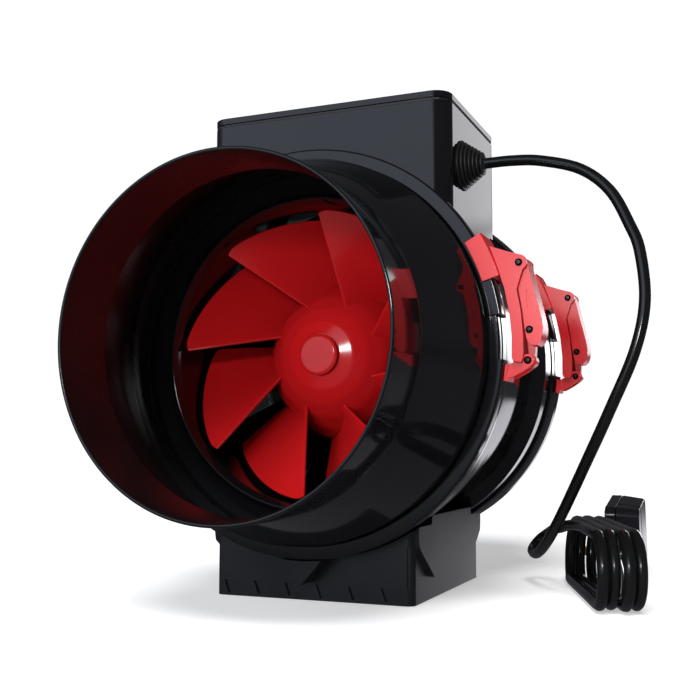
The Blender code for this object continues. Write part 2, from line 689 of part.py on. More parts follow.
def stand():
    """A hollow foot scooped to the clamps, with a saddle that carries the casing's barrel."""
    half_x, half_y = STAND_WIDTH / 2, STAND_DEPTH / 2
    foot = block("mounting_base", (-half_x, -half_y, 0), (half_x, half_y, 0.052), black_plastic(),
                 round_upright=0.004)
    bm = bmesh.new()
    add_box(bm, (-0.036, -0.040, 0.020), (0.036, 0.040, 0.075))
    boolean(foot, hidden(place("saddle_block", bm, None)), "UNION")
    bm = bmesh.new()
    for side in (-1, 1):
        wing = [(-0.0700, 0.040), (-0.0688, 0.0343), (-0.040, 0.0137), (0.040, 0.0137), (0.0688, 0.0343),
                (0.0700, 0.040), (0.0700, 0.052), (-0.0700, 0.052)]
        start = side * (half_x - 0.006)
        add_prism(bm, [Vector((start, y, z)) for y, z in wing], Vector((side * 0.009, 0, 0)))
        prow = [(-0.0165, 0.034), (-0.0120, 0.0240), (0.0, 0.0110), (0.0120, 0.0240), (0.0165, 0.034)]
        start = side * (half_y - 0.006)
        add_prism(bm, [Vector((x, start, z)) for x, z in prow], Vector((0, side * 0.0215, 0)))
    boolean(foot, hidden(place("wings_and_prows", bm, None)), "UNION")
    boolean(foot, casing_cutter("stand_saddle_cutter", 0.1280, BARREL_RADIUS + 0.0004, 0.0420))
    bm = bmesh.new()
    for side in (-1, 1):
        low = Vector((min(side * 0.012, side * 0.0636), -0.0690, -0.010))
        high = Vector((max(side * 0.012, side * 0.0636), 0.0690, 0.0200))
        add_box(bm, low, high)
    boolean(foot, hidden(place("stand_pockets", bm, None)))
    for name, y in (("base_screw_front", -0.025), ("base_screw_rear", 0.025)):
        bm = bmesh.new()
        add_rod(bm, (0, y, -0.010), (0, y, 0.0062), 0.0066, 16)
        boolean(foot, hidden(place(f"{name}_counterbore", bm, None)))
        bm = bmesh.new()
        add_rod(bm, (0, y, 0.003), (0, y, 0.060), 0.0024, 12)
        boolean(foot, hidden(place(f"{name}_hole", bm, None)))
        screw(name, (0, y, 0.0012), (0, y, 0.0462), 0.0060, 0.0046, 0.0020, steel(), 16)


# ---------------------------------------------------------------- mains lead


HANK_NEAR = Vector((0.1810, -0.0420, 0))
HANK_RUN = 0.105
HANK_DIRECTION = Vector((-0.314, 0.949, 0)).normalized()
HANK_ACROSS = Vector((0.949, 0.314, 0)).normalized()
HANK_HEIGHT = 0.047
HANK_WIDTH = 0.030
PLUG_CENTRE = Vector((0.1660, 0.1290, 0.0292))
PLUG_ROLL = -80


def smooth_route(points, count):
    """Evenly spaced points along a smooth curve through the route's own points."""
    curve = []
    padded = [points[0] * 2 - points[1], *points, points[-1] * 2 - points[-2]]
    for a, b, c, d in zip(padded, padded[1:], padded[2:], padded[3:]):
        for step in range(24):
            t = step / 24
            curve.append(
                ((b * 2) + (c - a) * t + (a * 2 - b * 5 + c * 4 - d) * t ** 2
                 + (b * 3 - a - c * 3 + d) * t ** 3) * 0.5
            )
    curve.append(points[-1])
    lengths = [0.0]
    for a, b in zip(curve, curve[1:]):
        lengths.append(lengths[-1] + (b - a).length)
    spaced = []
    for i in range(count):
        target = lengths[-1] * i / (count - 1)
        k = max(1, next(j for j, total in enumerate(lengths) if total >= target - 1e-12))
        share = (target - lengths[k - 1]) / (lengths[k] - lengths[k - 1])
        spaced.append(curve[k - 1].lerp(curve[k], share))
    return spaced


def cord_tube(name, route, count):
    curve = bpy.data.curves.new(name, "CURVE")
    curve.dimensions = "3D"
    curve.bevel_depth = LEAD_DIAMETER / 2
    curve.bevel_resolution = 2
    curve.use_fill_caps = True
    points = smooth_route([Vector(p) for p in route], count)
    spline = curve.splines.new("POLY")
    spline.points.add(len(points) - 1)
    for held, point in zip(spline.points, points):
        held.co = (*point, 1)
    obj = bpy.data.objects.new(name, curve)
    curve.materials.append(rubber())
    bpy.context.scene.collection.objects.link(obj)


def mains_lead():
    """From the grommet out to the right, down in one long sag, and back up to the side of the hank."""
    cord_tube("mains_lead", [
        (0.0890, -0.0210, 0.2790), (0.1030, -0.0210, 0.2791), (0.1180, -0.0212, 0.2790),
        (0.1368, -0.0220, 0.2768), (0.1624, -0.0250, 0.2680), (0.1809, -0.0290, 0.2515),
        (0.1928, -0.0340, 0.2279), (0.1986, -0.0375, 0.2110), (0.2012, -0.0420, 0.1808),
        (0.1950, -0.0440, 0.1510), (0.1796, -0.0420, 0.1165), (0.1650, -0.0340, 0.0880),
        (0.1430, -0.0040, 0.0520), (0.1270, 0.0250, 0.0310), (0.1160, 0.0460, 0.0215),
        (0.1100, 0.0600, 0.0225), (0.1130, 0.0690, 0.0285), (0.1210, 0.0640, 0.0345),
        (0.1280, 0.0520, 0.0385), (0.1325, 0.0415, 0.0395),
    ], 40)


def lead_hank():
    """The outer shape of the folded length of lead, standing on its edge."""
    radius = HANK_HEIGHT / 2
    outline = []
    for first, centre in ((90, HANK_NEAR), (-90, HANK_NEAR + HANK_DIRECTION * HANK_RUN)):
        for step in range(9):
            angle = radians(first + 180 * step / 8)
            outline.append(
                centre + HANK_DIRECTION * radius * cos(angle) + Vector((0, 0, radius + radius * sin(angle)))
                + Vector((0, 0, 0.0003))
            )
    prism("lead_hank", [p - HANK_ACROSS * HANK_WIDTH / 2 for p in outline], HANK_ACROSS * HANK_WIDTH,
          rubber())


def plug():
    """A three-pin mains plug lying on its side edge, its pins towards -X."""
    frame = bpy.data.objects.new("plug_frame", None)
    frame.location = PLUG_CENTRE
    frame.rotation_euler = (radians(PLUG_ROLL), 0, 0)
    bpy.context.scene.collection.objects.link(frame)
    half, face, seam, back = 0.0250, -0.0120, -0.0045, 0.0120

    def shell(name, low_x, high_x, taper, finish):
        bm = bmesh.new()
        add_box(bm, (low_x, -half, -half), (high_x, half, half))
        far = [v for v in bm.verts if v.co.x > high_x - 1e-5]
        if taper:
            for vert in far:
                vert.co.y *= taper
                vert.co.z *= taper
        along = [e for e in bm.edges if abs(e.verts[0].co.x - e.verts[1].co.x) > 1e-5]
        bmesh.ops.bevel(bm, geom=along, offset=0.006, segments=3, profile=0.5, affect="EDGES")
        return place(name, bm, finish, parent=frame)

    base = shell("plug_base", face, seam, None, black_plastic())
    shell("plug_cover", seam + 0.0003, back, 0.90, black_plastic())
    pins = (
        ("plug_earth_pin", 0.0, 0.0125, 0.00398, 0.00795, 0.0227),
        ("plug_live_pin", -0.0111, -0.0098, 0.00635, 0.00397, 0.0177),
        ("plug_neutral_pin", 0.0111, -0.0098, 0.00635, 0.00397, 0.0177),
    )
    holes = bmesh.new()
    for name, y, z, wide, tall, reach in pins:
        low = (face - reach, y - wide / 2, z - tall / 2)
        high = (seam - 0.0020, y + wide / 2, z + tall / 2)
        block(name, low, high, brass(), parent=frame)
        add_box(holes, (face - 0.005, y - wide / 2 - GAP, z - tall / 2 - GAP),
                (seam - 0.0017, y + wide / 2 + GAP, z + tall / 2 + GAP))
    add_box(holes, (face - 0.005, -0.0032, -0.0030), (face + 0.0045, 0.0032, 0.0060))
    cutter = hidden(place("pin_holes", holes, None, parent=frame))
    boolean(base, cutter)
    block("plug_fuse_cover", (face - 0.0006, -0.0028, -0.0026), (face + 0.0041, 0.0028, 0.0056),
          black_plastic(), parent=frame)

    middle_x = 0.0005
    relief = [(-half - 0.0003, 0), (-half - 0.0003, 0.0062), (-half - 0.0080, 0.0060),
              (-half - 0.0220, 0.0044), (-half - 0.0220, 0)]
    bm = bmesh.new()
    spin_solid(bm, [Vector((middle_x + r, 0, z)) for z, r in relief], (middle_x, 0, 0), Vector((0, 0, 1)), 16)
    place("plug_strain_relief", bm, rubber(), parent=frame)


def plug_lead():
    """The short stretch from the plug's strain relief back into the hank's side."""
    bpy.context.view_layer.update()
    frame = bpy.data.objects["plug_frame"].matrix_world
    tip = frame @ Vector((0.0005, 0, -0.0473))
    heading = (frame.to_3x3() @ Vector((0, 0, -1))).normalized()
    cord_tube("plug_lead", [
        tip, tip + heading * 0.007, tip + heading * 0.0135 + Vector((0.0001, 0, 0.0004)),
        tip + heading * 0.0195 + Vector((0.0003, 0, 0.0010)),
    ], 5)


def main():
    clear_scene()
    hole = wire_hole()
    for prefix, side in (("inlet", -1), ("outlet", 1)):
        duct_spigot(f"{prefix}_spigot", side)
        flange_seal(f"{prefix}_seal", side)
    centre_casing(hole)
    inlet_nozzle()
    stator(hole)
    tail_cone()
    motor()
    spin = bpy.data.objects.new("impeller_axis", None)
    spin.location = AXIS
    bpy.context.scene.collection.objects.link(spin)
    impeller(spin)
    rotor_parts(spin)
    clamp("front", -1)
    clamp("rear", 1)
    terminal_box(hole)
    box_gasket()
    box_cover()
    box_fittings()
    cable_grommet()
    stand()
    mains_lead()
    lead_hank()
    plug()
    plug_lead()


main()
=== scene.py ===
# Inline duct fan for 200 mm duct: fine surfaces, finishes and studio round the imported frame.
# Metres, +Z up. The fan's axis runs along Y and the inlet faces -Y.
import math

import bpy
from mathutils import Matrix, Vector


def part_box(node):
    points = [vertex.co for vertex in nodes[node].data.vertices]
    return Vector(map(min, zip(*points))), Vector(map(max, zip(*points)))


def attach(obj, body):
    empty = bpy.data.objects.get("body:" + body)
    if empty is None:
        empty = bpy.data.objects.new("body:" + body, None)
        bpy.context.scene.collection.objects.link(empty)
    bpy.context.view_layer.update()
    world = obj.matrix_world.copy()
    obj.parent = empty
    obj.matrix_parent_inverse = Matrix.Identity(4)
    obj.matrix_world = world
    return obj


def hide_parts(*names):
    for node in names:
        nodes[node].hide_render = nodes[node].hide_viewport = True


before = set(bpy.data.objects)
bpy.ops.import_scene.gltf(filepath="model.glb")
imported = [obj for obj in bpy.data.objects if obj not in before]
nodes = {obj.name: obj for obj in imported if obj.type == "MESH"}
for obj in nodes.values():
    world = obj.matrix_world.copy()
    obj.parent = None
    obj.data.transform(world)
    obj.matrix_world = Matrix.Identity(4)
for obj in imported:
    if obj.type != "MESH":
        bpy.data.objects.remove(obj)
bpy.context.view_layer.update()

inletLow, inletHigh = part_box("inlet_spigot")
fanAxis = Vector((0, 0, (inletLow.z + inletHigh.z) / 2))
right, back, up = Vector((1, 0, 0)), Vector((0, 1, 0)), Vector((0, 0, 1))


# Camera.
viewpoint = {
    "place": (0.2636, -0.6475, 0.0981),
    "yaw": 22.43,
    "pitch": 5.21,
    "lens": 51.5,
}


def addCamera():
    lens = bpy.data.cameras.new("studioCamera")
    lens.lens = viewpoint["lens"]
    lens.sensor_width = 36
    camera = bpy.data.objects.new("studioCamera", lens)
    camera.location = viewpoint["place"]
    camera.rotation_euler = (math.radians(90 + viewpoint["pitch"]), 0, math.radians(viewpoint["yaw"]))
    bpy.context.scene.collection.objects.link(camera)
    bpy.context.scene.camera = camera


# Finishes.

def mouldedFinish(name, look):
    # colour drifts softly, roughness varies in patches, and fine bumps break the reflections
    finish = bpy.data.materials.new(name)
    finish.use_nodes = True
    tree = finish.node_tree
    shader = tree.nodes["Principled BSDF"]
    shader.inputs["Metallic"].default_value = look.get("metallic", 0)
    shader.inputs["IOR"].default_value = look.get("ior", 1.5)
    if look.get("coat"):
        shader.inputs["Coat Weight"].default_value = look["coat"]
        shader.inputs["Coat Roughness"].default_value = look.get("coatRoughness", 0.05)
    where = tree.nodes.new("ShaderNodeTexCoord")
    patches = tree.nodes.new("ShaderNodeTexNoise")
    patches.inputs["Scale"].default_value = look.get("patchScale", 14)
    patches.inputs["Detail"].default_value = 4
    tree.links.new(where.outputs["Object"], patches.inputs["Vector"])
    tint = tree.nodes.new("ShaderNodeValToRGB")
    tint.color_ramp.elements[0].position = 0.35
    tint.color_ramp.elements[1].position = 0.65
    tint.color_ramp.elements[0].color = (*look["colour"], 1)
    tint.color_ramp.elements[1].color = (*look.get("drift", look["colour"]), 1)
    tree.links.new(patches.outputs["Fac"], tint.inputs["Fac"])
    tree.links.new(tint.outputs["Color"], shader.inputs["Base Color"])
    polish = tree.nodes.new("ShaderNodeMapRange")
    polish.inputs["From Min"].default_value = 0.3
    polish.inputs["From Max"].default_value = 0.7
    polish.inputs["To Min"].default_value = look["roughness"][0]
    polish.inputs["To Max"].default_value = look["roughness"][1]
    tree.links.new(patches.outputs["Fac"], polish.inputs["Value"])
    tree.links.new(polish.outputs["Result"], shader.inputs["Roughness"])
    grain = tree.nodes.new("ShaderNodeTexNoise")
    grain.inputs["Scale"].default_value = look["grainScale"]
    grain.inputs["Detail"].default_value = look.get("grainDetail", 2)
    tree.links.new(where.outputs["Object"], grain.inputs["Vector"])
    relief = tree.nodes.new("ShaderNodeBump")
    relief.inputs["Strength"].default_value = look["grain"]
    relief.inputs["Distance"].default_value = look.get("grainDepth", 0.0001)
    tree.links.new(grain.outputs["Fac"], relief.inputs["Height"])
    tree.links.new(relief.outputs["Normal"], shader.inputs["Normal"])
    return finish


finishLooks = {
    "glossBlack": {"colour": (0.0035, 0.0036, 0.0042), "drift": (0.0045, 0.0046, 0.0052),
                   "roughness": (0.05, 0.09), "grainScale": 90, "grain": 0.03},
    "insideBlack": {"colour": (0.0035, 0.0036, 0.0040), "drift": (0.0050, 0.0050, 0.0055), "ior": 1.42,
                    "roughness": (0.24, 0.30), "grainScale": 300, "grain": 0.05},
    "standBlack": {"colour": (0.0060, 0.0066, 0.0076), "drift": (0.0075, 0.0080, 0.0092),
                   "roughness": (0.20, 0.28), "grainScale": 500, "grain": 0.10},
    "impellerRed": {"colour": (0.56, 0.010, 0.012), "drift": (0.50, 0.007, 0.009),
                    "roughness": (0.13, 0.17), "grainScale": 160, "grain": 0.008},
    "latchRed": {"colour": (0.56, 0.012, 0.016), "drift": (0.52, 0.010, 0.013),
                 "roughness": (0.26, 0.36), "grainScale": 420, "grain": 0.08},
    "softRubber": {"colour": (0.010, 0.010, 0.010), "drift": (0.014, 0.014, 0.014),
                   "roughness": (0.42, 0.55), "grainScale": 900, "grain": 0.18},
    "cableJacket": {"colour": (0.0035, 0.0038, 0.0038), "drift": (0.0050, 0.0052, 0.0052),
                    "roughness": (0.13, 0.19), "grainScale": 500, "grain": 0.03},
    "plugBlack": {"colour": (0.0060, 0.0060, 0.0064), "drift": (0.0080, 0.0080, 0.0085),
                  "roughness": (0.16, 0.26), "grainScale": 800, "grain": 0.10},
    "blackenedSteel": {"colour": (0.018, 0.018, 0.020), "drift": (0.030, 0.030, 0.032), "metallic": 1,
                       "roughness": (0.22, 0.36), "grainScale": 900, "grain": 0.12},
    "brightSteel": {"colour": (0.56, 0.57, 0.59), "drift": (0.48, 0.49, 0.51), "metallic": 1,
                    "roughness": (0.18, 0.34), "grainScale": 1200, "grain": 0.12},
    "castAluminium": {"colour": (0.42, 0.43, 0.44), "drift": (0.34, 0.35, 0.36), "metallic": 1,
                      "roughness": (0.38, 0.52), "grainScale": 600, "grain": 0.25},
    "windingCopper": {"colour": (0.62, 0.24, 0.11), "drift": (0.45, 0.16, 0.07), "metallic": 1,
                      "roughness": (0.28, 0.44), "grainScale": 1500, "grain": 0.45},
    "pinBrass": {"colour": (0.62, 0.43, 0.13), "drift": (0.52, 0.35, 0.10), "metallic": 1,
                 "roughness": (0.26, 0.40), "grainScale": 1100, "grain": 0.14},
    "terminalWhite": {"colour": (0.62, 0.60, 0.55), "drift": (0.56, 0.54, 0.49),
                      "roughness": (0.40, 0.52), "grainScale": 700, "grain": 0.10},
    "capacitorGrey": {"colour": (0.20, 0.21, 0.23), "drift": (0.17, 0.18, 0.20),
                      "roughness": (0.30, 0.42), "grainScale": 500, "grain": 0.10},
}
finishes = {name: mouldedFinish(name, look) for name, look in finishLooks.items()}


# Modelling helpers.

def leaveEdit():
    if bpy.context.mode != "OBJECT":
        bpy.ops.object.mode_set(mode="OBJECT")


def selectOnly(piece=None):
    leaveEdit()
    bpy.ops.object.select_all(action="DESELECT")
    if piece:
        piece.select_set(True)
        bpy.context.view_layer.objects.active = piece


def editOnly(piece, vertices=(), faces=None):
    # opens the piece with only these vertices, or the faces that pass the test, selected
    selectOnly(piece)
    mesh = piece.data
    for group in (mesh.vertices, mesh.edges, mesh.polygons):
        group.foreach_set("select", [False] * len(group))
    for number in vertices:
        mesh.vertices[number].select = True
    if faces:
        for face in mesh.polygons:
            face.select = bool(faces(face))
    bpy.ops.object.mode_set(mode="EDIT")
    bpy.ops.mesh.select_mode(type="FACE" if faces else "VERT")


def arcPoints(middle, first, last, steps):
    # points on the shorter way round a centre, from one radius vector to another
    return [middle + first.slerp(last, step / steps) * first.length for step in range(steps + 1)]


def rounded(corners, steps=4, closed=True):
    # an outline of (u, v) or (u, v, radius) corners, each radius turned into an arc
    points = []
    for number, corner in enumerate(corners):
        here = Vector((corner[0], corner[1], 0))
        ends = number in (0, len(corners) - 1) and not closed
        if len(corner) < 3 or ends:
            points.append(here)
            continue
        before, after = corners[number - 1], corners[(number + 1) % len(corners)]
        toBefore = (Vector((before[0], before[1], 0)) - here).normalized()
        toAfter = (Vector((after[0], after[1], 0)) - here).normalized()
        half = toBefore.angle(toAfter) / 2
        middle = here + (toBefore + toAfter).normalized() * corner[2] / math.sin(half)
        reach = corner[2] / math.tan(half)
        points += arcPoints(middle, here + toBefore * reach - middle, here + toAfter * reach - middle,
            steps)
    return points


def drawLine(name, points):
    # one vertex is drawn out along the points, left open in edit mode
    selectOnly()
    bpy.ops.mesh.primitive_plane_add(size=0.01, location=(0, 0, 0))
    piece = bpy.context.object
    piece.name = name
    bpy.ops.object.mode_set(mode="EDIT")
    bpy.ops.mesh.select_mode(type="VERT")
    bpy.ops.mesh.select_all(action="SELECT")
    bpy.ops.mesh.merge(type="CENTER")
    bpy.ops.transform.translate(value=points[0])
    for last, here in zip(points, points[1:]):
        bpy.ops.mesh.extrude_region_move(TRANSFORM_OT_translate={"value": here - last})
    return piece


def tidyShell(piece):
    leaveEdit()
    editOnly(piece)
    bpy.ops.mesh.select_all(action="SELECT")
    bpy.ops.mesh.remove_doubles(threshold=0.000002)
    bpy.ops.mesh.normals_make_consistent(inside=False)
    leaveEdit()
    return piece


def turnPiece(name, corners, steps=160, middle=fanAxis, along=back, side=right, arc=None, cornerSteps=4):
    # (distance along, radius) corners turned about an axis: all the way round, or over an arc of degrees
    solid = corners[0][1] == 0 and corners[-1][1] == 0
    first = math.radians(arc[0]) if arc else 0
    start = Matrix.Rotation(-first, 3, along) @ side
    outline = rounded(corners, cornerSteps, closed=not solid)
    piece = drawLine(name, [middle + along * point.x + start * point.y for point in outline])
    if arc:
        bpy.ops.mesh.select_all(action="SELECT")
        bpy.ops.mesh.edge_face_add()
    elif not solid:
        editOnly(piece, [0, len(outline) - 1])
        bpy.ops.mesh.edge_face_add()
    bpy.ops.mesh.select_all(action="SELECT")
    sweep = math.radians(arc[1] - arc[0]) if arc else 2 * math.pi
    bpy.ops.mesh.spin(steps=steps, angle=sweep, center=middle, axis=along)
    return tidyShell(piece)


def extrudePiece(name, points, sweep):
    piece = drawLine(name, points)
    bpy.ops.mesh.select_all(action="SELECT")
    bpy.ops.mesh.edge_face_add()
    bpy.ops.mesh.extrude_region_move(TRANSFORM_OT_translate={"value": sweep})
    return tidyShell(piece)


def blockPiece(name, low, high, uprightRadius=0, segments=6, along=2):
    # a box between two corners, with the edges along one row axis rounded
    low, high = Vector(low), Vector(high)
    selectOnly()
    bpy.ops.mesh.primitive_cube_add(size=1, location=(low + high) / 2, scale=high - low)
    piece = bpy.context.object
    piece.name = name
    bpy.ops.object.transform_apply(location=True, rotation=True, scale=True)
    if uprightRadius:
        editOnly(piece)
        bpy.ops.mesh.select_mode(type="EDGE")
        leaveEdit()
        mesh = piece.data
        for edge in mesh.edges:
            ends = [mesh.vertices[number].co for number in edge.vertices]
            way = (ends[1] - ends[0]).normalized()
            edge.select = abs(way[along]) > 0.9
        bpy.ops.object.mode_set(mode="EDIT")
        bpy.ops.mesh.bevel(offset=uprightRadius, segments=segments, affect="EDGES")
    return tidyShell(piece)


def rodPiece(name, start, end, radius, steps=32):
    start, end = Vector(start), Vector(end)
    selectOnly()
    turn = (end - start).to_track_quat("Z", "Y").to_euler()
    bpy.ops.mesh.primitive_cylinder_add(
        vertices=steps, radius=radius, depth=(end - start).length, location=(start + end) / 2, rotation=turn
    )
    piece = bpy.context.object
    piece.name = name
    bpy.ops.object.transform_apply(location=True, rotation=True, scale=True)
    return piece


def carve(piece, tools, operation="DIFFERENCE"):
    for tool in tools:
        selectOnly(piece)
        step = piece.modifiers.new("carve", "BOOLEAN")
        step.operation = operation
        step.object = tool
        bpy.ops.object.modifier_apply(modifier="carve")
        bpy.data.objects.remove(tool)
    return piece


def softenEdges(piece, width, segments=3, angle=35):
    selectOnly(piece)
    step = piece.modifiers.new("softEdges", "BEVEL")
    step.width = width
    step.segments = segments
    step.limit_method = "ANGLE"
    step.angle_limit = math.radians(angle)
    bpy.ops.object.modifier_apply(modifier="softEdges")
    return piece


def joinPieces(name, pieces):
    selectOnly(pieces[0])
    for piece in pieces[1:]:
        piece.select_set(True)
    bpy.ops.object.join()
    pieces[0].name = name
    return pieces[0]


def finishPiece(piece, body, finish, stoodFor=(), smooth=32):
    selectOnly(piece)
    bpy.ops.object.shade_smooth_by_angle(angle=math.radians(smooth))
    shading = piece.modifiers.new("shading", "WEIGHTED_NORMAL")
    shading.keep_sharp = True
    bpy.ops.object.modifier_apply(modifier="shading")
    if finish:
        piece.data.materials.clear()
        piece.data.materials.append(finishes[finish])
    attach(piece, body)
    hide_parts(*stoodFor)
    return piece


def polar(radius, degrees, y=0.0):
    # a place round the fan's axis, with degrees counted from +X towards +Z
    angle = math.radians(degrees)
    return fanAxis + Vector((radius * math.cos(angle), y, radius * math.sin(angle)))


def polarLine(*places):
    # (radius, degrees) places in a row
    return [polar(*place) for place in places]


# Mains lead.
leadRoute = {
    "diameter": 0.007,
    "length": 1.75,
    "exit": (0.1015, -0.0210, 0.2790),
    "hanging": [
        (0.0890, -0.0210, 0.2790), (0.1030, -0.0210, 0.2791), (0.1180, -0.0212, 0.2790),
        (0.1368, -0.0220, 0.2768), (0.1624, -0.0250, 0.2680), (0.1809, -0.0290, 0.2515),
        (0.1928, -0.0340, 0.2279), (0.1986, -0.0375, 0.2110), (0.2012, -0.0420, 0.1808),
        (0.1950, -0.0440, 0.1510), (0.1796, -0.0420, 0.1165), (0.1650, -0.0340, 0.0880),
        (0.1430, -0.0040, 0.0520), (0.1270, 0.0250, 0.0310), (0.1160, 0.0460, 0.0215),
        (0.1100, 0.0600, 0.0225), (0.1130, 0.0690, 0.0285), (0.1210, 0.0640, 0.0345),
        (0.1280, 0.0520, 0.0385), (0.1325, 0.0415, 0.0395),
    ],
    "toPlug": [(0.1668, 0.0632, 0.0186), (0.1666, 0.0760, 0.0199), (0.1665, 0.0824, 0.0210)],
    "hankNear": (0.1810, -0.0420, 0.0003),
    "hankAlong": (-0.314, 0.949, 0),
    "hankAcross": (0.949, 0.314, 0),
    "run": 0.105,
    "foldRadius": 0.020,
    "turns": 4,
    "spacing": 0.0072,
    "stray": (0.0000, 0.0035, -0.0020, 0.0015),
    "step": 0.004,
}


def hankPoint(run, across, height):
    route = leadRoute
    place = Vector(route["hankNear"]) + Vector(route["hankAlong"]) * run
    return place + Vector(route["hankAcross"]) * across + up * height


def hankTurns():
    # each turn goes along the top to the near fold, back along the bottom and up round the far fold
    radius, low = leadRoute["foldRadius"], leadRoute["diameter"] / 2
    middle = low + radius
    points = [hankPoint(0.080, -0.0150, 0.0425)]
    for turn in range(leadRoute["turns"]):
        across = (turn - (leadRoute["turns"] - 1) / 2) * leadRoute["spacing"]
        stray = leadRoute["stray"][turn]
        nearEnd, farEnd = stray, leadRoute["run"] + stray * 0.6
        for share in (0.55, 0.28):
            points.append(hankPoint(nearEnd + (farEnd - nearEnd) * share, across, middle + radius))
        for step in range(9):
            angle = math.radians(90 - 180 * step / 8)
            run = nearEnd - radius * math.cos(angle)
            points.append(hankPoint(run, across, middle + radius * math.sin(angle)))
        if turn == leadRoute["turns"] - 1:
            break
        for share in (0.3, 0.6):
            points.append(hankPoint(nearEnd + (farEnd - nearEnd) * share, across, low))
        for step in range(9):
            angle = math.radians(-90 + 180 * step / 8)
            drift = leadRoute["spacing"] * (step / 8) * 0.75
            run = farEnd + radius * math.cos(angle)
            points.append(hankPoint(run, across + drift, middle + radius * math.sin(angle)))
    points += [hankPoint(0.030, 0.0112, 0.0040), hankPoint(0.055, 0.0135, 0.0070),
        hankPoint(0.080, 0.0168, 0.0125)]
    return points


def smoothLine(points, step):
    # a smooth curve through the points, cut into equal steps
    padded = [points[0] * 2 - points[1], *points, points[-1] * 2 - points[-2]]
    curve = []
    for a, b, c, d in zip(padded, padded[1:], padded[2:], padded[3:]):
        for part in range(16):
            t = part / 16
            curve.append((b * 2 + (c - a) * t + (a * 2 - b * 5 + c * 4 - d) * t ** 2
                          + (b * 3 - a - c * 3 + d) * t ** 3) * 0.5)
    curve.append(points[-1])
    total = sum((b - a).length for a, b in zip(curve, curve[1:]))
    count = round(total / step)
    gap = total / count
    line, walked, target = [curve[0]], 0.0, gap
    for a, b in zip(curve, curve[1:]):
        length = (b - a).length
        while length and walked + length >= target - 1e-9 and len(line) < count:
            line.append(a.lerp(b, (target - walked) / length))
            target += gap
        walked += length
    line.append(curve[-1])
    return line, total


def makeLead():
    route = [Vector(point) for point in leadRoute["hanging"]] + hankTurns()
    route += [Vector(point) for point in leadRoute["toPlug"]]
    line, total = smoothLine(route, leadRoute["step"])
    data = bpy.data.curves.new("mainsLeadCable", "CURVE")
    data.dimensions = "3D"
    data.bevel_depth = leadRoute["diameter"] / 2
    data.bevel_resolution = 5
    data.use_fill_caps = True
    spline = data.splines.new("POLY")
    spline.points.add(len(line) - 1)
    for held, point in zip(spline.points, line):
        held.co = (*point, 1)
    spline.use_smooth = True
    lead = bpy.data.objects.new("mainsLeadCable", data)
    bpy.context.scene.collection.objects.link(lead)
    data.materials.append(finishes["cableJacket"])
    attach(lead, "fan_body")
    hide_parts("mains_lead", "lead_hank", "plug_lead")
    print("mains lead", round(total, 3), "m")
    return lead


addCamera()
mainsLead = makeLead()


# Casing and duct spigots.
spigotShape = {
    "corners": [
        (0.1955, 0.1000, 0.0009), (0.1540, 0.1000, 0.0040), (0.0990, 0.1186, 0.0050),
        (0.0870, 0.1186, 0.0010), (0.0857, 0.1200, 0.0008), (0.0857, 0.1246, 0.0010),
        (0.0806, 0.1246, 0.0004), (0.0806, 0.1160, 0.0006), (0.0990, 0.1160, 0.0050),
        (0.1546, 0.0978, 0.0040), (0.1955, 0.0978, 0.0009),
    ],
    "steps": 192,
}


def satinInside(piece):
    # faces that look in towards the fan's axis get the satin black
    piece.data.materials.append(finishes["insideBlack"])
    for face in piece.data.polygons:
        outward = face.center - fanAxis
        outward.y = 0
        if face.normal.dot(outward.normalized()) < -0.5:
            face.material_index = 1


def makeSpigot(name, side, node):
    corners = [(side * corner[0], *corner[1:]) for corner in spigotShape["corners"]]
    spigot = turnPiece(name, corners, spigotShape["steps"])
    finishPiece(spigot, "fan_body", "glossBlack", [node])
    satinInside(spigot)


casingShape = {
    "half": [
        (0.0450, 0.1150, 0.0020), (0.0475, 0.1240, 0.0016), (0.0666, 0.1240, 0.0008), (0.0666, 0.1186),
        (0.0692, 0.1186), (0.0692, 0.1246), (0.0770, 0.1246), (0.0770, 0.1170), (0.0736, 0.1170),
        (0.0736, 0.1076),
    ],
    "steps": 192,
    "notches": (52, 97, 143, 204, 232, 262, 292, 318, 338),
    "notchSize": (0.0042, 0.0030, 0.0046),
    "nozzle": [
        (-0.0769, 0.1167), (-0.0739, 0.1167), (-0.0739, 0.1010, 0.0010), (-0.0700, 0.0990),
        (-0.0450, 0.0980), (-0.0450, 0.0954), (-0.0730, 0.0954, 0.0030), (-0.0796, 0.0978, 0.0007),
        (-0.0796, 0.0992, 0.0005), (-0.0775, 0.1015, 0.0010), (-0.0769, 0.1040, 0.0006),
    ],
}


def makeCasing():
    half = casingShape["half"]
    corners = [(-corner[0], *corner[1:]) for corner in reversed(half)] + half
    casing = turnPiece("centreCasingShell", corners, casingShape["steps"])
    wide, deep, tall = casingShape["notchSize"]
    cutters = []
    for side in (-1, 1):
        for degrees in casingShape["notches"]:
            middle = polar(0.1240, degrees, side * 0.0660)
            out, round_ = polar(1, degrees) - fanAxis, polar(1, degrees + 90) - fanAxis
            corner = middle - round_ * tall / 2 - out * deep / 2 - back * wide / 2
            outline = [corner, corner + out * deep, corner + out * deep + back * wide, corner + back * wide]
            cutters.append(extrudePiece("notch", outline, round_ * tall))
    carve(casing, [joinPieces("notches", cutters)])
    finishPiece(casing, "fan_body", "glossBlack", ["centre_casing"], 28)
    nozzle = turnPiece("inletNozzleRing", casingShape["nozzle"], casingShape["steps"])
    finishPiece(nozzle, "fan_body", "glossBlack", ["inlet_nozzle"])


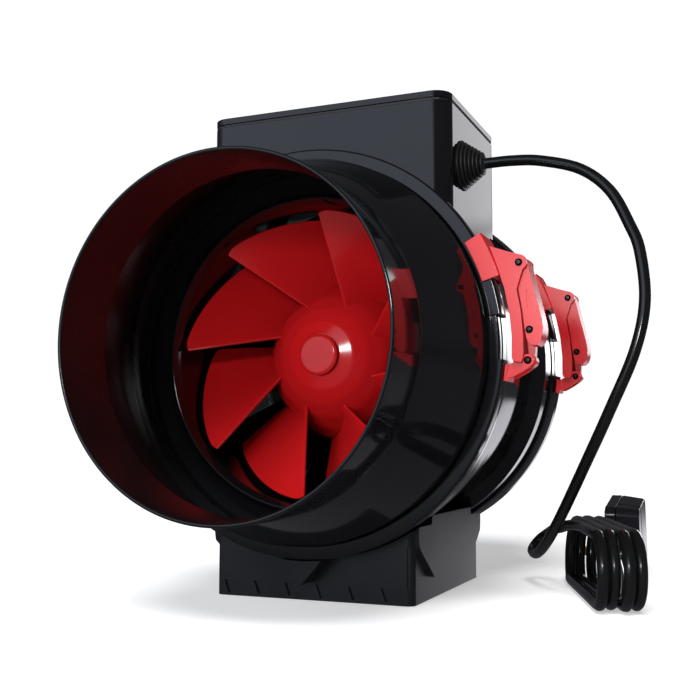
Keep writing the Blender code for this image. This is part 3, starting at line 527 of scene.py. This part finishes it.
statorShape = {
    "ring": [(0, 0.1072), (0.070, 0.1072), (0.070, 0.1046, 0.0006), (0, 0.1046, 0.0010)],
    "hub": [
        (-0.006, 0.0590, 0.0008), (0.062, 0.0590, 0.0005), (0.062, 0.0562), (0.058, 0.0562),
        (0.058, 0.0090), (0.054, 0.0090), (0.054, 0.0562), (-0.006, 0.0562, 0.0006),
    ],
    "vanes": 9,
    "first": 0.004,
    "last": 0.056,
    "sweep": 26,
    "thickness": 0.0018,
}


def makeStator():
    shape = statorShape
    pieces = [turnPiece("statorRing", shape["ring"], 144), turnPiece("statorHub", shape["hub"], 144)]
    for vane in range(shape["vanes"]):
        phase = 110 + vane * 360 / shape["vanes"]
        rim = []
        for share in [step / 10 for step in range(11)]:
            y = shape["first"] + (shape["last"] - shape["first"]) * share
            rim.append((y, phase - shape["sweep"] * (1 - share) ** 2))
        hubLine = [polar(0.0580, degrees, y) for y, degrees in rim]
        blade = drawLine("statorVane", hubLine)
        bpy.ops.mesh.select_all(action="SELECT")
        bpy.ops.mesh.extrude_region_move(TRANSFORM_OT_translate={"value": (0, 0, 0)})
        leaveEdit()
        for number, (y, degrees) in enumerate(rim):
            blade.data.vertices[len(rim) + number].co = polar(0.1058, degrees, y)
        step = blade.modifiers.new("wall", "SOLIDIFY")
        step.thickness = shape["thickness"]
        step.offset = 0
        selectOnly(blade)
        bpy.ops.object.modifier_apply(modifier="wall")
        pieces.append(tidyShell(blade))
    stator = joinPieces("statorVaneRing", pieces)
    finishPiece(stator, "fan_body", "glossBlack", ["stator_vanes"])


tailShape = {
    "outer": [(0.0623, 0.0588), (0.080, 0.0565, 0.03), (0.098, 0.0485, 0.02), (0.110, 0.0370, 0.012),
              (0.117, 0.0220, 0.008), (0.119, 0.0030, 0.0005)],
    "inner": [(0.117, 0.0030), (0.115, 0.0210), (0.1085, 0.0352), (0.0968, 0.0463), (0.079, 0.0541),
              (0.0623, 0.0564)],
}


def makeTailCone():
    cone = turnPiece("tailFairing", tailShape["outer"] + tailShape["inner"], 128, cornerSteps=6)
    finishPiece(cone, "fan_body", "glossBlack", ["tail_cone"])


# Impeller.
impellerShape = {
    "blades": 8,
    "radius": 0.0925,
    "thickness": 0.0021,
    "chordSteps": 30,
    "spanSteps": 22,
    "tipRound": 0.055,
    "tipReach": 0.13,
    "dome": [
        (-0.0600, 0.0050), (-0.0600, 0.0140, 0.0012), (-0.0580, 0.0225, 0.012), (-0.0535, 0.0310, 0.02),
        (-0.0460, 0.0395, 0.025), (-0.0350, 0.0470, 0.03), (-0.0220, 0.0530, 0.04),
        (-0.0080, 0.0570, 0.0006), (-0.0080, 0.0542, 0.0006), (-0.0220, 0.0500), (-0.0335, 0.0440),
        (-0.0430, 0.0370), (-0.0500, 0.0300), (-0.0500, 0.0110), (-0.0220, 0.0110), (-0.0220, 0.0056),
        (-0.0520, 0.0056), (-0.0590, 0.0090), (-0.0590, 0.0050),
    ],
    "cap": [(-0.0603, 0), (-0.0603, 0.0131), (-0.0608, 0.0135, 0.0003), (-0.0632, 0.0135, 0.0009),
            (-0.0640, 0.0115, 0.0020), (-0.0640, 0)],
}


def bladePoint(along, span):
    # the blade's middle surface: along runs from its leading edge, span from its root
    rootRadius = 0.0340 + 0.0205 * along
    rootY = -0.0503 + 0.0373 * along ** 1.1
    rootAngle = 22.5 - 34 * along
    tipY = -0.0745 + 0.0425 * along ** 1.3
    tipAngle = 43.5 - 50 * along
    reach = impellerShape["tipReach"]
    corner = max(0.0, 1 - along / reach) ** 2.2 + max(0.0, 1 - (1 - along) / reach) ** 2.2
    outward = span * (1 - impellerShape["tipRound"] * corner * span ** 3)
    root, tip = polar(rootRadius, rootAngle, rootY), polar(impellerShape["radius"], tipAngle, tipY)
    return root.lerp(tip, outward) + (tip - fanAxis).normalized() * 0.0035 * math.sin(math.pi * span) * along


def makeBlade():
    # a grid is laid on the blade's surface, then given its wall and its rounded edge
    shape = impellerShape
    selectOnly()
    bpy.ops.mesh.primitive_grid_add(
        x_subdivisions=shape["chordSteps"], y_subdivisions=shape["spanSteps"], size=2, location=(0, 0, 0)
    )
    blade = bpy.context.object
    for vertex in blade.data.vertices:
        along, span = (vertex.co.x + 1) / 2, (vertex.co.y + 1) / 2
        vertex.co = bladePoint(0.02 + 0.96 * along, span)
    wall = blade.modifiers.new("wall", "SOLIDIFY")
    wall.thickness = shape["thickness"]
    wall.offset = 0
    bpy.ops.object.modifier_apply(modifier="wall")
    tidyShell(blade)
    return softenEdges(blade, 0.0007, 3, 50)


def makeImpeller():
    shape = impellerShape
    pieces = [turnPiece("impellerDome", shape["dome"], 160)]
    first = makeBlade()
    for number in range(1, shape["blades"]):
        selectOnly(first)
        bpy.ops.object.duplicate()
        blade = bpy.context.object
        turn = Matrix.Rotation(-2 * math.pi * number / shape["blades"], 4, "Y")
        blade.data.transform(Matrix.Translation(fanAxis) @ turn @ Matrix.Translation(-fanAxis))
        pieces.append(blade)
    wheel = joinPieces("impellerWheel", pieces + [first])
    finishPiece(wheel, "impeller_rotor", "impellerRed", ["impeller"], 40)
    cap = turnPiece("impellerNoseCap", shape["cap"], 96)
    finishPiece(cap, "impeller_rotor", "impellerRed", ["impeller_cap"])


# Clamps.
clampShape = {
    "band": [
        (0.0880, 0.1275, 0.0014), (0.0800, 0.1275, 0.0003), (0.0800, 0.1262, 0.0002),
        (0.0784, 0.1262, 0.0002), (0.0784, 0.1273, 0.0003), (0.0730, 0.1268, 0.0010),
        (0.0670, 0.1256, 0.0009), (0.0670, 0.1192, 0.0004), (0.0688, 0.1192, 0.0004), (0.0688, 0.1251),
        (0.0862, 0.1253), (0.0862, 0.1192, 0.0004), (0.0880, 0.1192, 0.0006),
    ],
    "middle": 0.0775,
    "pinA": (0.1445, 18.8),
    "pinB": (0.1420, 3.2),
    "anchor": (0.1408, -3.9),
    "pinRadius": 0.0018,
    "bore": 0.0022,
    "hood": [
        (-0.0122, 0.1212, 0.0004), (-0.0122, 0.1322, 0.0009), (0.0122, 0.1322, 0.0009),
        (0.0122, 0.1246, 0.0004), (0.0109, 0.1246, 0.0003), (0.0109, 0.1279, 0.0003),
        (-0.0109, 0.1279, 0.0003), (-0.0109, 0.1212, 0.0003),
    ],
    "soft": 0.00045,
}


def roundAbout(middle, radius, first, last, steps):
    centre = polar(*middle)
    turned = [first + (last - first) * step / steps for step in range(steps + 1)]
    return [centre + polar(radius, degrees) - fanAxis for degrees in turned]


def pinBore(place, middle):
    centre = polar(*place, middle)
    return rodPiece("bore", centre - back * 0.02, centre + back * 0.02, clampShape["bore"], 24)


def sheetPair(name, outline, middle, faces, thickness):
    # the same outline cut from two parallel sheets
    sheets = []
    for face in faces:
        sheets.append(extrudePiece(name, [p + back * (middle + face) for p in outline], back * thickness))
    return joinPieces(name, sheets)


def makeBand(name, side, node):
    corners = [(side * corner[0], *corner[1:]) for corner in clampShape["band"]]
    band = turnPiece(name, corners, 174, arc=(8, 356))
    finishPiece(band, "fan_body", "glossBlack", [node])


def makeSaddle(name, middle, side, node):
    corners = [(middle - side * corner[0], *corner[1:]) for corner in clampShape["hood"]]
    hood = turnPiece(name, corners, 14, arc=(17.5, 29.5))
    outline = polarLine((0.1322, 20), (0.1322, 14), (0.1322, 8), (0.1322, 2), (0.1322, -3.4))
    outline += polarLine((0.1330, -4.3), (0.1376, -4.5), (0.1386, -3.6), (0.1388, 2))
    outline += polarLine((0.1388, 8), (0.1389, 13)) + roundAbout(clampShape["pinA"], 0.0046, -62, 84, 14)
    outline += polarLine((0.1404, 22.4), (0.1328, 25.5))
    rails = sheetPair("rails", outline, middle, (-0.0102, 0.0082), 0.0020)
    carve(hood, [rails], "UNION")
    carve(hood, [pinBore(clampShape["pinA"], middle)])
    softenEdges(hood, clampShape["soft"], 3, 40)
    panel = polarLine((0.1236, 18.9), (0.1311, 18.9), (0.1311, 23.4), (0.1311, 28.2), (0.1236, 28.2))
    outer = middle - side * 0.0125
    plate = extrudePiece("hoodPanel", [p + back * outer for p in panel], back * side * 0.0012)
    softenEdges(plate, 0.0003, 2)
    hood = joinPieces(name, [hood, plate])
    finishPiece(hood, "fan_body", "latchRed", [node], 38)


def makeCatch(name, middle, node):
    foot = polarLine((0.1279, -9.4), (0.1279, -5.2), (0.1318, -5.2), (0.1315, -7.5), (0.1305, -9.4))
    catch = extrudePiece(name, [p - back * 0.0072 + back * middle for p in foot], back * 0.0144)
    lug = polarLine((0.1296, -8.4), (0.1300, -5.3)) + roundAbout(clampShape["anchor"], 0.0036, 150, -50, 16)
    lug += polarLine((0.1385, -6.6), (0.1325, -8.4))
    carve(catch, [sheetPair("lugs", lug, middle, (-0.0072, 0.0052), 0.0020)], "UNION")
    carve(catch, [pinBore(clampShape["anchor"], middle)])
    softenEdges(catch, clampShape["soft"], 3, 40)
    finishPiece(catch, "fan_body", "latchRed", [node], 38)


def makeLever(name, middle, body, node):
    outline = polarLine((0.1395, 15.5), (0.1393, 12), (0.1392, 8), (0.1393, 4), (0.1400, 1.4))
    outline += polarLine((0.1414, 0.2), (0.1436, -0.4), (0.1460, -0.4), (0.1480, 0.4))
    outline += polarLine((0.1493, 1.8), (0.1499, 3.4), (0.1497, 5.2), (0.1490, 7.4), (0.1484, 10))
    outline += polarLine((0.1481, 12.6), (0.1482, 15)) + roundAbout(clampShape["pinA"], 0.0042, 10, 200, 18)
    lever = extrudePiece(name, [p + back * (middle - 0.0076) for p in outline], back * 0.0152)
    hollow = polarLine((0.1370, 24), (0.1370, -4), (0.1445, -4), (0.1462, 2), (0.1474, 5))
    hollow += polarLine((0.1466, 8), (0.1460, 12), (0.1462, 14.8), (0.1395, 16.2), (0.1395, 24))
    carve(lever, [extrudePiece("hollow", [p + back * (middle - 0.0050) for p in hollow], back * 0.0100)])
    carve(lever, [pinBore(clampShape["pinA"], middle), pinBore(clampShape["pinB"], middle)])
    dent = polarLine((0.1424, 8.2), (0.1442, 8.6), (0.1446, 10.2), (0.1440, 12.4), (0.1432, 12.0))
    carve(lever, [sheetPair("dents", dent, middle, (-0.0086, 0.0071), 0.0015)])
    softenEdges(lever, clampShape["soft"], 3, 40)
    finishPiece(lever, body, "latchRed", [node], 38)


def makeLink(name, middle, body, node):
    outline = roundAbout(clampShape["anchor"], clampShape["bore"], -90, 90, 12)
    outline += [polar(*clampShape["anchor"]) + Vector((-0.0004, 0, 0.0043)), polar(0.1392, 1.2)]
    outline += roundAbout(clampShape["pinB"], 0.0032, 200, -20, 16) + [polar(0.1446, 1.0)]
    outline += roundAbout(clampShape["anchor"], 0.0042, 40, -90, 12)
    link = extrudePiece(name, [p + back * (middle - 0.0032) for p in outline], back * 0.0064)
    carve(link, [pinBore(clampShape["pinB"], middle)])
    softenEdges(link, 0.0003, 2, 40)
    finishPiece(link, body, "latchRed", [node], 38)


def makePin(name, place, middle, reach, body, node):
    # a pin with a domed head at each end
    radius = clampShape["pinRadius"]
    head, tall = radius * 1.12, 0.0011
    corners = [(-reach, 0), (-reach, head * 0.6, 0.0004), (-reach + tall * 0.45, head, 0.0003)]
    corners += [(-reach + tall, head), (-reach + tall, radius), (reach - tall, radius),
        (reach - tall, head)]
    corners += [(reach - tall * 0.45, head, 0.0003), (reach, head * 0.6, 0.0004), (reach, 0)]
    pin = turnPiece(name, corners, 32, polar(*place, middle))
    finishPiece(pin, body, "blackenedSteel", [node])


def makeClamp(prefix, side):
    middle = side * clampShape["middle"]
    makeBand(prefix + "BandHoop", side, prefix + "_clamp_band")
    makeSaddle(prefix + "Saddle", middle, side, prefix + "_latch_saddle")
    makeCatch(prefix + "Catch", middle, prefix + "_latch_catch")
    makeLever(prefix + "Lever", middle, prefix + "_lever", prefix + "_latch_lever")
    makeLink(prefix + "Link", middle, prefix + "_link", prefix + "_latch_link")
    makePin(prefix + "LeverPin", clampShape["pinA"], middle, 0.0116, "fan_body", prefix + "_lever_pin")
    makePin(prefix + "LinkPin", clampShape["pinB"], middle, 0.0088, prefix + "_lever", prefix + "_link_pin")
    makePin(prefix + "AnchorPin", clampShape["anchor"], middle, 0.0080, "fan_body", prefix + "_anchor_pin")


# Terminal box.
boxLow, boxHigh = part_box("terminal_box")
boxShape = {
    "wall": 0.0026,
    "cornerRadius": 0.0115,
    "roofLow": 0.2644,
    "roofHigh": 0.2668,
    "bossInset": 0.0070,
    "bossRadius": 0.0046,
    "gland": (0.0, -0.0210, 0.2790),
    "grommetSteps": (0.0165, 0.0150, 0.0135, 0.0120, 0.0105, 0.0090, 0.0075),
    "tread": 0.0022,
}


def casingTool(name, bandRadius, barrelRadius, stepY):
    # a little larger than the casing, to cut what sits on it
    corners = [
        (-0.120, bandRadius), (-stepY - 0.0025, bandRadius), (-stepY, barrelRadius), (stepY, barrelRadius),
        (stepY + 0.0025, bandRadius), (0.120, bandRadius), (0.120, 0.030), (-0.120, 0.030),
    ]
    return turnPiece(name, corners, 144)


def bossPlaces():
    inset = boxShape["bossInset"]
    rows = (boxLow.y + inset, boxHigh.y - inset)
    return [(x, y) for x in (boxLow.x + inset, boxHigh.x - inset) for y in rows]


def makeBox():
    shape, wall = boxShape, boxShape["wall"]
    low, high = Vector((boxLow.x, boxLow.y, 0.200)), boxHigh
    box = blockPiece("terminalBoxShell", low, high, shape["cornerRadius"], 8)
    inner = Vector((wall, wall, 0))
    roomLow, roomHigh = low + inner, high - inner
    inside = shape["cornerRadius"] - wall
    upper = blockPiece("upperRoom", (*roomLow.xy, shape["roofHigh"]), (*roomHigh.xy, 0.34), inside)
    lower = blockPiece("lowerRoom", (*roomLow.xy, 0.15), (*roomHigh.xy, shape["roofLow"]), inside)
    carve(box, [upper, lower])
    bossLow = shape["roofLow"] + 0.001
    bosses = [rodPiece("boss", (x, y, bossLow), (x, y, high.z),
        shape["bossRadius"]) for x, y in bossPlaces()]
    carve(box, bosses, "UNION")
    carve(box, [casingTool("saddleTool", 0.1244, 0.1154, 0.0446)])
    carve(box, [rodPiece("bossHole", (x, y, 0.298), (x, y, 0.330), 0.0020, 20) for x, y in bossPlaces()])
    gland = Vector((high.x, shape["gland"][1], shape["gland"][2]))
    carve(box, [rodPiece("glandHole", gland - right * 0.01, gland + right * 0.01, 0.0094, 40)])
    carve(box, [rodPiece("wireHole", (0, 0.020, 0.190), (0, 0.020, 0.276), 0.0042, 24)])
    softenEdges(box, 0.0004, 2, 40)
    finishPiece(box, "fan_body", "glossBlack", ["terminal_box"])


def makeCover():
    low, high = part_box("box_cover")
    cover = blockPiece("boxLid", low, high, boxShape["cornerRadius"], 8)
    for x, y in bossPlaces():
        corners = [(-0.010, 0), (-0.010, 0.0020), (-0.0024, 0.0020), (-0.0024, 0.0042),
            (0.005, 0.0042), (0.005, 0)]
        carve(cover, [turnPiece("screwTool", corners, 32, Vector((x, y, high.z)), up, right)])
    softenEdges(cover, 0.0009, 3, 40)
    finishPiece(cover, "fan_body", "glossBlack", ["box_cover"])
    for number, (x, y) in enumerate(bossPlaces(), 1):
        top = high.z - 0.0003
        corners = [(0, 0), (0, 0.0034, 0.0004), (-0.0006, 0.0038, 0.0003), (-0.0018, 0.0038),
            (-0.0018, 0.0017)]
        corners += [(-0.0190, 0.0017), (-0.0199, 0)]
        screw = turnPiece("coverScrewFine" + str(number), corners, 32, Vector((x, y, top)), up, right)
        for wide, deep in ((0.0023, 0.00045), (0.00045, 0.0023)):
            low_, high_ = (x - wide, y - deep, top - 0.0009), (x + wide, y + deep, top + 0.001)
            carve(screw, [blockPiece("slotTool", low_, high_)])
        finishPiece(screw, "fan_body", "blackenedSteel", ["cover_screw_" + str(number)])


def makeGrommet():
    # a stepped cone pushed through the wall, its treads falling away towards the lead
    shape = boxShape
    wall, bore = boxHigh.x, leadRoute["diameter"] / 2 + 0.0002
    corners = [(wall - 0.0052, bore), (wall - 0.0052, 0.0118, 0.0006), (wall - 0.0029, 0.0118, 0.0003),
               (wall - 0.0029, 0.0090), (wall + 0.0003, 0.0090)]
    for number, radius in enumerate(shape["grommetSteps"]):
        start = wall + 0.0003 + number * shape["tread"]
        corners += [(start, radius - 0.0052), (start - 0.0003, radius, 0.0002),
            (start + 0.0006, radius, 0.0002)]
        corners.append((start + shape["tread"] - 0.0002, radius - 0.0056))
    corners.append((wall + 0.0003 + len(shape["grommetSteps"]) * shape["tread"], bore, 0.0004))
    middle = Vector((0, shape["gland"][1], shape["gland"][2]))
    grommet = turnPiece("leadGrommet", corners, 64, middle, right, up, cornerSteps=3)
    finishPiece(grommet, "fan_body", "softRubber", ["cable_grommet"], 45)


# Stand.
standShape = {
    "halfWidth": 0.0671,
    "halfDepth": 0.07265,
    "cornerRadius": 0.0050,
    "pocketPlaces": (-0.0540, -0.0325, -0.0110, 0.0105, 0.0320, 0.0535),
    "pocketHeights": (0.0018, 0.0098),
}


def makeStand():
    shape = standShape
    halfX, halfY = shape["halfWidth"], shape["halfDepth"]
    foot = blockPiece("standFoot", (-halfX, -halfY, 0), (halfX, halfY, 0.052), shape["cornerRadius"], 6)
    carve(foot, [blockPiece("saddleBlock", (-0.036, -0.040, 0.020), (0.036, 0.040, 0.075))], "UNION")
    for side in (-1, 1):
        wing = [(-0.0700, 0.040), (-0.0688, 0.0343), (-0.040, 0.0137), (0.040, 0.0137), (0.0688, 0.0343),
                (0.0700, 0.040), (0.0700, 0.052), (-0.0700, 0.052)]
        start = side * (halfX - 0.006)
        wingPiece = extrudePiece("wing", [Vector((start, y, z)) for y, z in wing], right * side * 0.009)
        prow = [(-0.0165, 0.034), (-0.0120, 0.0240), (0.0, 0.0110), (0.0120, 0.0240), (0.0165, 0.034)]
        start = side * (halfY - 0.006)
        prowPiece = extrudePiece("prow", [Vector((x, start, z)) for x, z in prow], back * side * 0.0215)
        carve(foot, [wingPiece, prowPiece], "UNION")
    carve(foot, [casingTool("standSaddleTool", 0.1280, 0.1154, 0.0420)])
    tools = []
    for side in (-1, 1):
        inner, outer = sorted((side * 0.012, side * 0.0636))
        tools.append(blockPiece("underPocket", (inner, -0.0690, -0.010), (outer, 0.0690, 0.0200)))
        low, high = shape["pocketHeights"]
        for x in shape["pocketPlaces"]:
            # shallow skirt pockets, wider at the top
            outline = [Vector((x - 0.0072, 0, high)), Vector((x + 0.0072, 0, high)),
                Vector((x + 0.0032, 0, low)),
                       Vector((x - 0.0042, 0, low))]
            start = back * side * (halfY - 0.0016)
            tools.append(extrudePiece("skirtPocket", [p + start for p in outline], back * side * 0.010))
        slotAt = Vector((side * 0.0640, -halfY + 0.0012, 0.010))
        tools.append(blockPiece("cornerSlot", slotAt - Vector((0.0009, 0.004, 0)),
            slotAt + Vector((0.0009, 0, 0.024))))
        tools.append(rodPiece("screwSeat", (0, side * 0.025, -0.010), (0, side * 0.025, 0.0062),
            0.0066, 40))
        tools.append(rodPiece("screwWay", (0, side * 0.025, 0.003), (0, side * 0.025, 0.060), 0.0024, 24))
    carve(foot, tools)
    softenEdges(foot, 0.0006, 3, 30)
    finishPiece(foot, "fan_body", "standBlack", ["mounting_base"], 30)


# Plug.
plugShape = {
    "centre": (0.1660, 0.1290, 0.0292),
    "roll": -80,
    "half": 0.0250,
    "face": -0.0120,
    "seam": -0.0045,
    "rear": 0.0120,
    "pins": {
        "Earth": (0.0, 0.0125, 0.00398, 0.00795, 0.0227, 0.0060, "plug_earth_pin"),
        "Live": (-0.0111, -0.0098, 0.00635, 0.00397, 0.0177, 0.0090, "plug_live_pin"),
        "Neutral": (0.0111, -0.0098, 0.00635, 0.00397, 0.0177, 0.0090, "plug_neutral_pin"),
    },
}


def toPlug(piece):
    turn = Matrix.Rotation(math.radians(plugShape["roll"]), 4, "X")
    piece.data.transform(Matrix.Translation(plugShape["centre"]) @ turn)
    return piece


def plugHalf(name, lowX, highX, taper):
    half = plugShape["half"]
    shell = blockPiece(name, (lowX, -half, -half), (highX, half, half), 0.0065, 8, along=0)
    for vertex in shell.data.vertices:
        if vertex.co.x > highX - 1e-5:
            vertex.co.y *= taper
            vertex.co.z *= taper
    return shell


def makePlug():
    shape = plugShape
    half, face, seam, rear = shape["half"], shape["face"], shape["seam"], shape["rear"]
    base = plugHalf("plugFace", face, seam, 1)
    cover = plugHalf("plugBack", seam + 0.0003, rear, 0.92)
    grip = blockPiece("gripGroove", (seam - 0.001, -half - 0.002, -0.0095),
        (rear + 0.002, half + 0.002, -0.0088))
    carve(cover, [grip])
    softenEdges(cover, 0.0010, 3)
    softenEdges(base, 0.0006, 3)
    pieces = []
    for name, (y, z, wide, tall, reach, sleeve, node) in shape["pins"].items():
        start = seam - 0.0020
        pin = blockPiece("plugPin" + name, (face - reach, y - wide / 2, z - tall / 2),
                         (start, y + wide / 2, z + tall / 2))
        softenEdges(pin, 0.0006, 3)
        hole = blockPiece("pinHole", (face - 0.005, y - wide / 2 - 0.0004, z - tall / 2 - 0.0004),
                          (seam - 0.0017, y + wide / 2 + 0.0004, z + tall / 2 + 0.0004))
        carve(base, [hole])
        finishPiece(toPlug(pin), "fan_body", "pinBrass", [node])
        pinSleeve = blockPiece("pinSleeve" + name, (face - sleeve, y - wide / 2 - 0.0003,
            z - tall / 2 - 0.0003),
                            (face + 0.001, y + wide / 2 + 0.0003, z + tall / 2 + 0.0003))
        softenEdges(pinSleeve, 0.0005, 3)
        finishPiece(toPlug(pinSleeve), "fan_body", "plugBlack")
        pieces += [pin, pinSleeve]
    carve(base, [blockPiece("fuseHole", (face - 0.005, -0.0032, -0.0030), (face + 0.0045, 0.0032, 0.0060))])
    fuse = blockPiece("fuseLid", (face - 0.0006, -0.0028, -0.0026), (face + 0.0041, 0.0028, 0.0056))
    softenEdges(fuse, 0.0004, 2)
    corners = [(-half - 0.0003, 0), (-half - 0.0003, 0.0062, 0.0006), (-half - 0.0050, 0.0062, 0.0006)]
    for number in range(4):
        start = -half - 0.0065 - number * 0.0038
        radius = 0.0060 - number * 0.00035
        corners += [(start, radius - 0.0010, 0.0003), (start - 0.0010, radius, 0.0004),
            (start - 0.0024, radius, 0.0004)]
    corners += [(-half - 0.0220, 0.0046, 0.0004), (-half - 0.0220, 0)]
    relief = turnPiece("plugBoot", corners, 40, Vector((0.0005, 0, 0)), up, right, cornerSteps=3)
    for piece, finish, slot, node in (
        (base, "plugBlack", "plug", "plug_base"), (cover, "plugBlack", "plug", "plug_cover"),
        (fuse, "plugBlack", "plug", "plug_fuse_cover"), (relief, "cableJacket", "lead",
        "plug_strain_relief"),
    ):
        pieces.append(finishPiece(toPlug(piece), "fan_body", finish, [node]))
    return pieces


# Pieces kept from the frame.
keptFinishes = {
    "softRubber": ("inlet_seal", "outlet_seal", "box_gasket", "motor_cable"),
    "brightSteel": ("motor_shaft", "shaft_nut", "motor_rotor", "front_bearing", "rear_bearing",
                    "base_screw_front", "base_screw_rear"),
    "castAluminium": ("motor_housing",),
    "windingCopper": ("motor_winding",),
    "terminalWhite": ("terminal_block",),
    "capacitorGrey": ("run_capacitor",),
}


def finishKept():
    for finish, names in keptFinishes.items():
        for name in names:
            for slot in nodes[name].material_slots:
                slot.material = finishes[finish]


for label, side in (("inlet", -1), ("outlet", 1)):
    makeSpigot(label + "SpigotShell", side, label + "_spigot")
makeCasing()
makeStator()
makeTailCone()
print("casing done")
makeImpeller()
print("impeller done")
makeClamp("front", -1)
makeClamp("rear", 1)
print("clamps done")
makeBox()
makeCover()
makeGrommet()
print("terminal box done")
makeStand()
print("stand done")
plugPieces = makePlug()
finishKept()
print("plug and kept pieces done")


# Studio.
studio = {
    "floorSize": 12,
    "floorColour": (0.80, 0.80, 0.80),
    "floorGlow": 0.46,
    "sunPower": 2.7,
    "sunSpread": 26,
    "sunWay": (-0.15, 0.75, -1.0),
    "base": [(0.00, (0.10, 0.10, 0.11)), (0.44, (0.09, 0.09, 0.10)), (0.50, (0.05, 0.05, 0.06)),
             (0.56, (0.08, 0.08, 0.09)), (0.72, (0.06, 0.06, 0.07)), (1.00, (0.03, 0.03, 0.03))],
    "glows": [
        {"x": (-0.02, 0.245), "z": (0.045, 0.20), "soft": 0.012, "side": 1, "colour": (5.0, 5.0, 5.1)},
        {"x": (0.205, 0.300), "z": (0.205, 0.36), "soft": 0.02, "side": 1, "colour": (1.7, 1.7, 1.75)},
        {"x": (-0.05, 0.225), "z": (-0.245, -0.075), "soft": 0.015, "side": 1, "colour": (1.5, 1.5, 1.6)},
        {"x": (-0.80, 0.05), "z": (0.02, 0.55), "soft": 0.20, "side": -1, "colour": (1.00, 1.10, 1.32)},
    ],
}


def rampBetween(tree, value, low, high):
    step = tree.nodes.new("ShaderNodeMapRange")
    step.interpolation_type = "SMOOTHSTEP"
    step.inputs["From Min"].default_value = low
    step.inputs["From Max"].default_value = high
    tree.links.new(value, step.inputs["Value"])
    return step.outputs["Result"]


def multiply(tree, values):
    product = values[0]
    for value in values[1:]:
        step = tree.nodes.new("ShaderNodeMath")
        step.operation = "MULTIPLY"
        tree.links.new(product, step.inputs[0])
        tree.links.new(value, step.inputs[1])
        product = step.outputs["Value"]
    return product


def addSurround():
    # white to the camera; to everything else a dark room with a few soft bright windows
    scene = bpy.context.scene
    scene.view_settings.view_transform = "Standard"
    world = bpy.data.worlds.new("studioSurround")
    scene.world = world
    world.use_nodes = True
    tree = world.node_tree
    room = tree.nodes["Background"]
    where = tree.nodes.new("ShaderNodeTexCoord")
    parts = tree.nodes.new("ShaderNodeSeparateXYZ")
    tree.links.new(where.outputs["Generated"], parts.inputs["Vector"])
    height = tree.nodes.new("ShaderNodeMapRange")
    height.inputs["From Min"].default_value = -1
    height.inputs["From Max"].default_value = 1
    tree.links.new(parts.outputs["Z"], height.inputs["Value"])
    fade = tree.nodes.new("ShaderNodeValToRGB")
    stops = studio["base"]
    for number, (place, colour) in enumerate(stops):
        stop = fade.color_ramp.elements[number] if number < 2 else fade.color_ramp.elements.new(place)
        if number == 1:
            stop.position = place
        stop.color = (*colour, 1)
    for stop, (place, colour) in zip(sorted(fade.color_ramp.elements, key=lambda one: one.position), stops):
        stop.position = place
        stop.color = (*colour, 1)
    tree.links.new(height.outputs["Result"], fade.inputs["Fac"])
    total = fade.outputs["Color"]
    for glow in studio["glows"]:
        soft = glow["soft"]
        masks = []
        for axis, key in (("X", "x"), ("Z", "z")):
            low, high = glow[key]
            masks.append(rampBetween(tree, parts.outputs[axis], low - soft, low + soft))
            masks.append(rampBetween(tree, parts.outputs[axis], high + soft, high - soft))
        masks.append(rampBetween(tree, parts.outputs["Y"], -0.1 * glow["side"], 0.1 * glow["side"]))
        window = tree.nodes.new("ShaderNodeMix")
        window.data_type = "RGBA"
        window.blend_type = "MIX"
        tree.links.new(multiply(tree, masks), window.inputs["Factor"])
        tree.links.new(total, window.inputs["A"])
        window.inputs["B"].default_value = (*glow["colour"], 1)
        total = window.outputs["Result"]
    tree.links.new(total, room.inputs["Color"])
    white = tree.nodes.new("ShaderNodeBackground")
    white.inputs["Color"].default_value = (1, 1, 1, 1)
    white.inputs["Strength"].default_value = 1.05
    seen = tree.nodes.new("ShaderNodeLightPath")
    blend = tree.nodes.new("ShaderNodeMixShader")
    tree.links.new(seen.outputs["Is Camera Ray"], blend.inputs["Fac"])
    tree.links.new(room.outputs["Background"], blend.inputs[1])
    tree.links.new(white.outputs["Background"], blend.inputs[2])
    tree.links.new(blend.outputs["Shader"], tree.nodes["World Output"].inputs["Surface"])


def addFloor():
    bpy.ops.mesh.primitive_plane_add(size=studio["floorSize"], location=(0, 0, -0.0003))
    floor = bpy.context.object
    floor.name = "studioFloor"
    paint = bpy.data.materials.new("studioFloorPaint")
    paint.use_nodes = True
    shader = paint.node_tree.nodes["Principled BSDF"]
    shader.inputs["Base Color"].default_value = (*studio["floorColour"], 1)
    shader.inputs["Roughness"].default_value = 1
    shader.inputs["Specular IOR Level"].default_value = 0
    shader.inputs["Emission Color"].default_value = (1, 1, 1, 1)
    shader.inputs["Emission Strength"].default_value = studio["floorGlow"]
    floor.data.materials.append(paint)
    floor.visible_glossy = False


def addPanel(name, place, target, size, power, colour=(1, 1, 1), glossy=True):
    data = bpy.data.lights.new(name, "AREA")
    data.shape = "RECTANGLE"
    data.size, data.size_y = size
    data.energy = power
    data.color = colour
    panel = bpy.data.objects.new(name, data)
    panel.location = place
    way = Vector(target) - Vector(place)
    panel.rotation_euler = way.to_track_quat("-Z", "Y").to_euler()
    panel.visible_glossy = glossy
    bpy.context.scene.collection.objects.link(panel)
    return panel


def addSun():
    data = bpy.data.lights.new("shadowSun", "SUN")
    data.energy = studio["sunPower"]
    data.angle = math.radians(studio["sunSpread"])
    sun = bpy.data.objects.new("shadowSun", data)
    sun.rotation_euler = Vector(studio["sunWay"]).to_track_quat("-Z", "Y").to_euler()
    sun.visible_glossy = False
    bpy.context.scene.collection.objects.link(sun)


addSurround()
addFloor()
addSun()
middleOfFan = Vector((0, 0, 0.16))
addPanel("frontPanel", (0.078, -1.31, 0.405), middleOfFan, (0.20, 0.11), 4)
addPanel("frontFill", (-0.5, -1.5, 0.5), middleOfFan, (0.9, 0.9), 9, glossy=False)
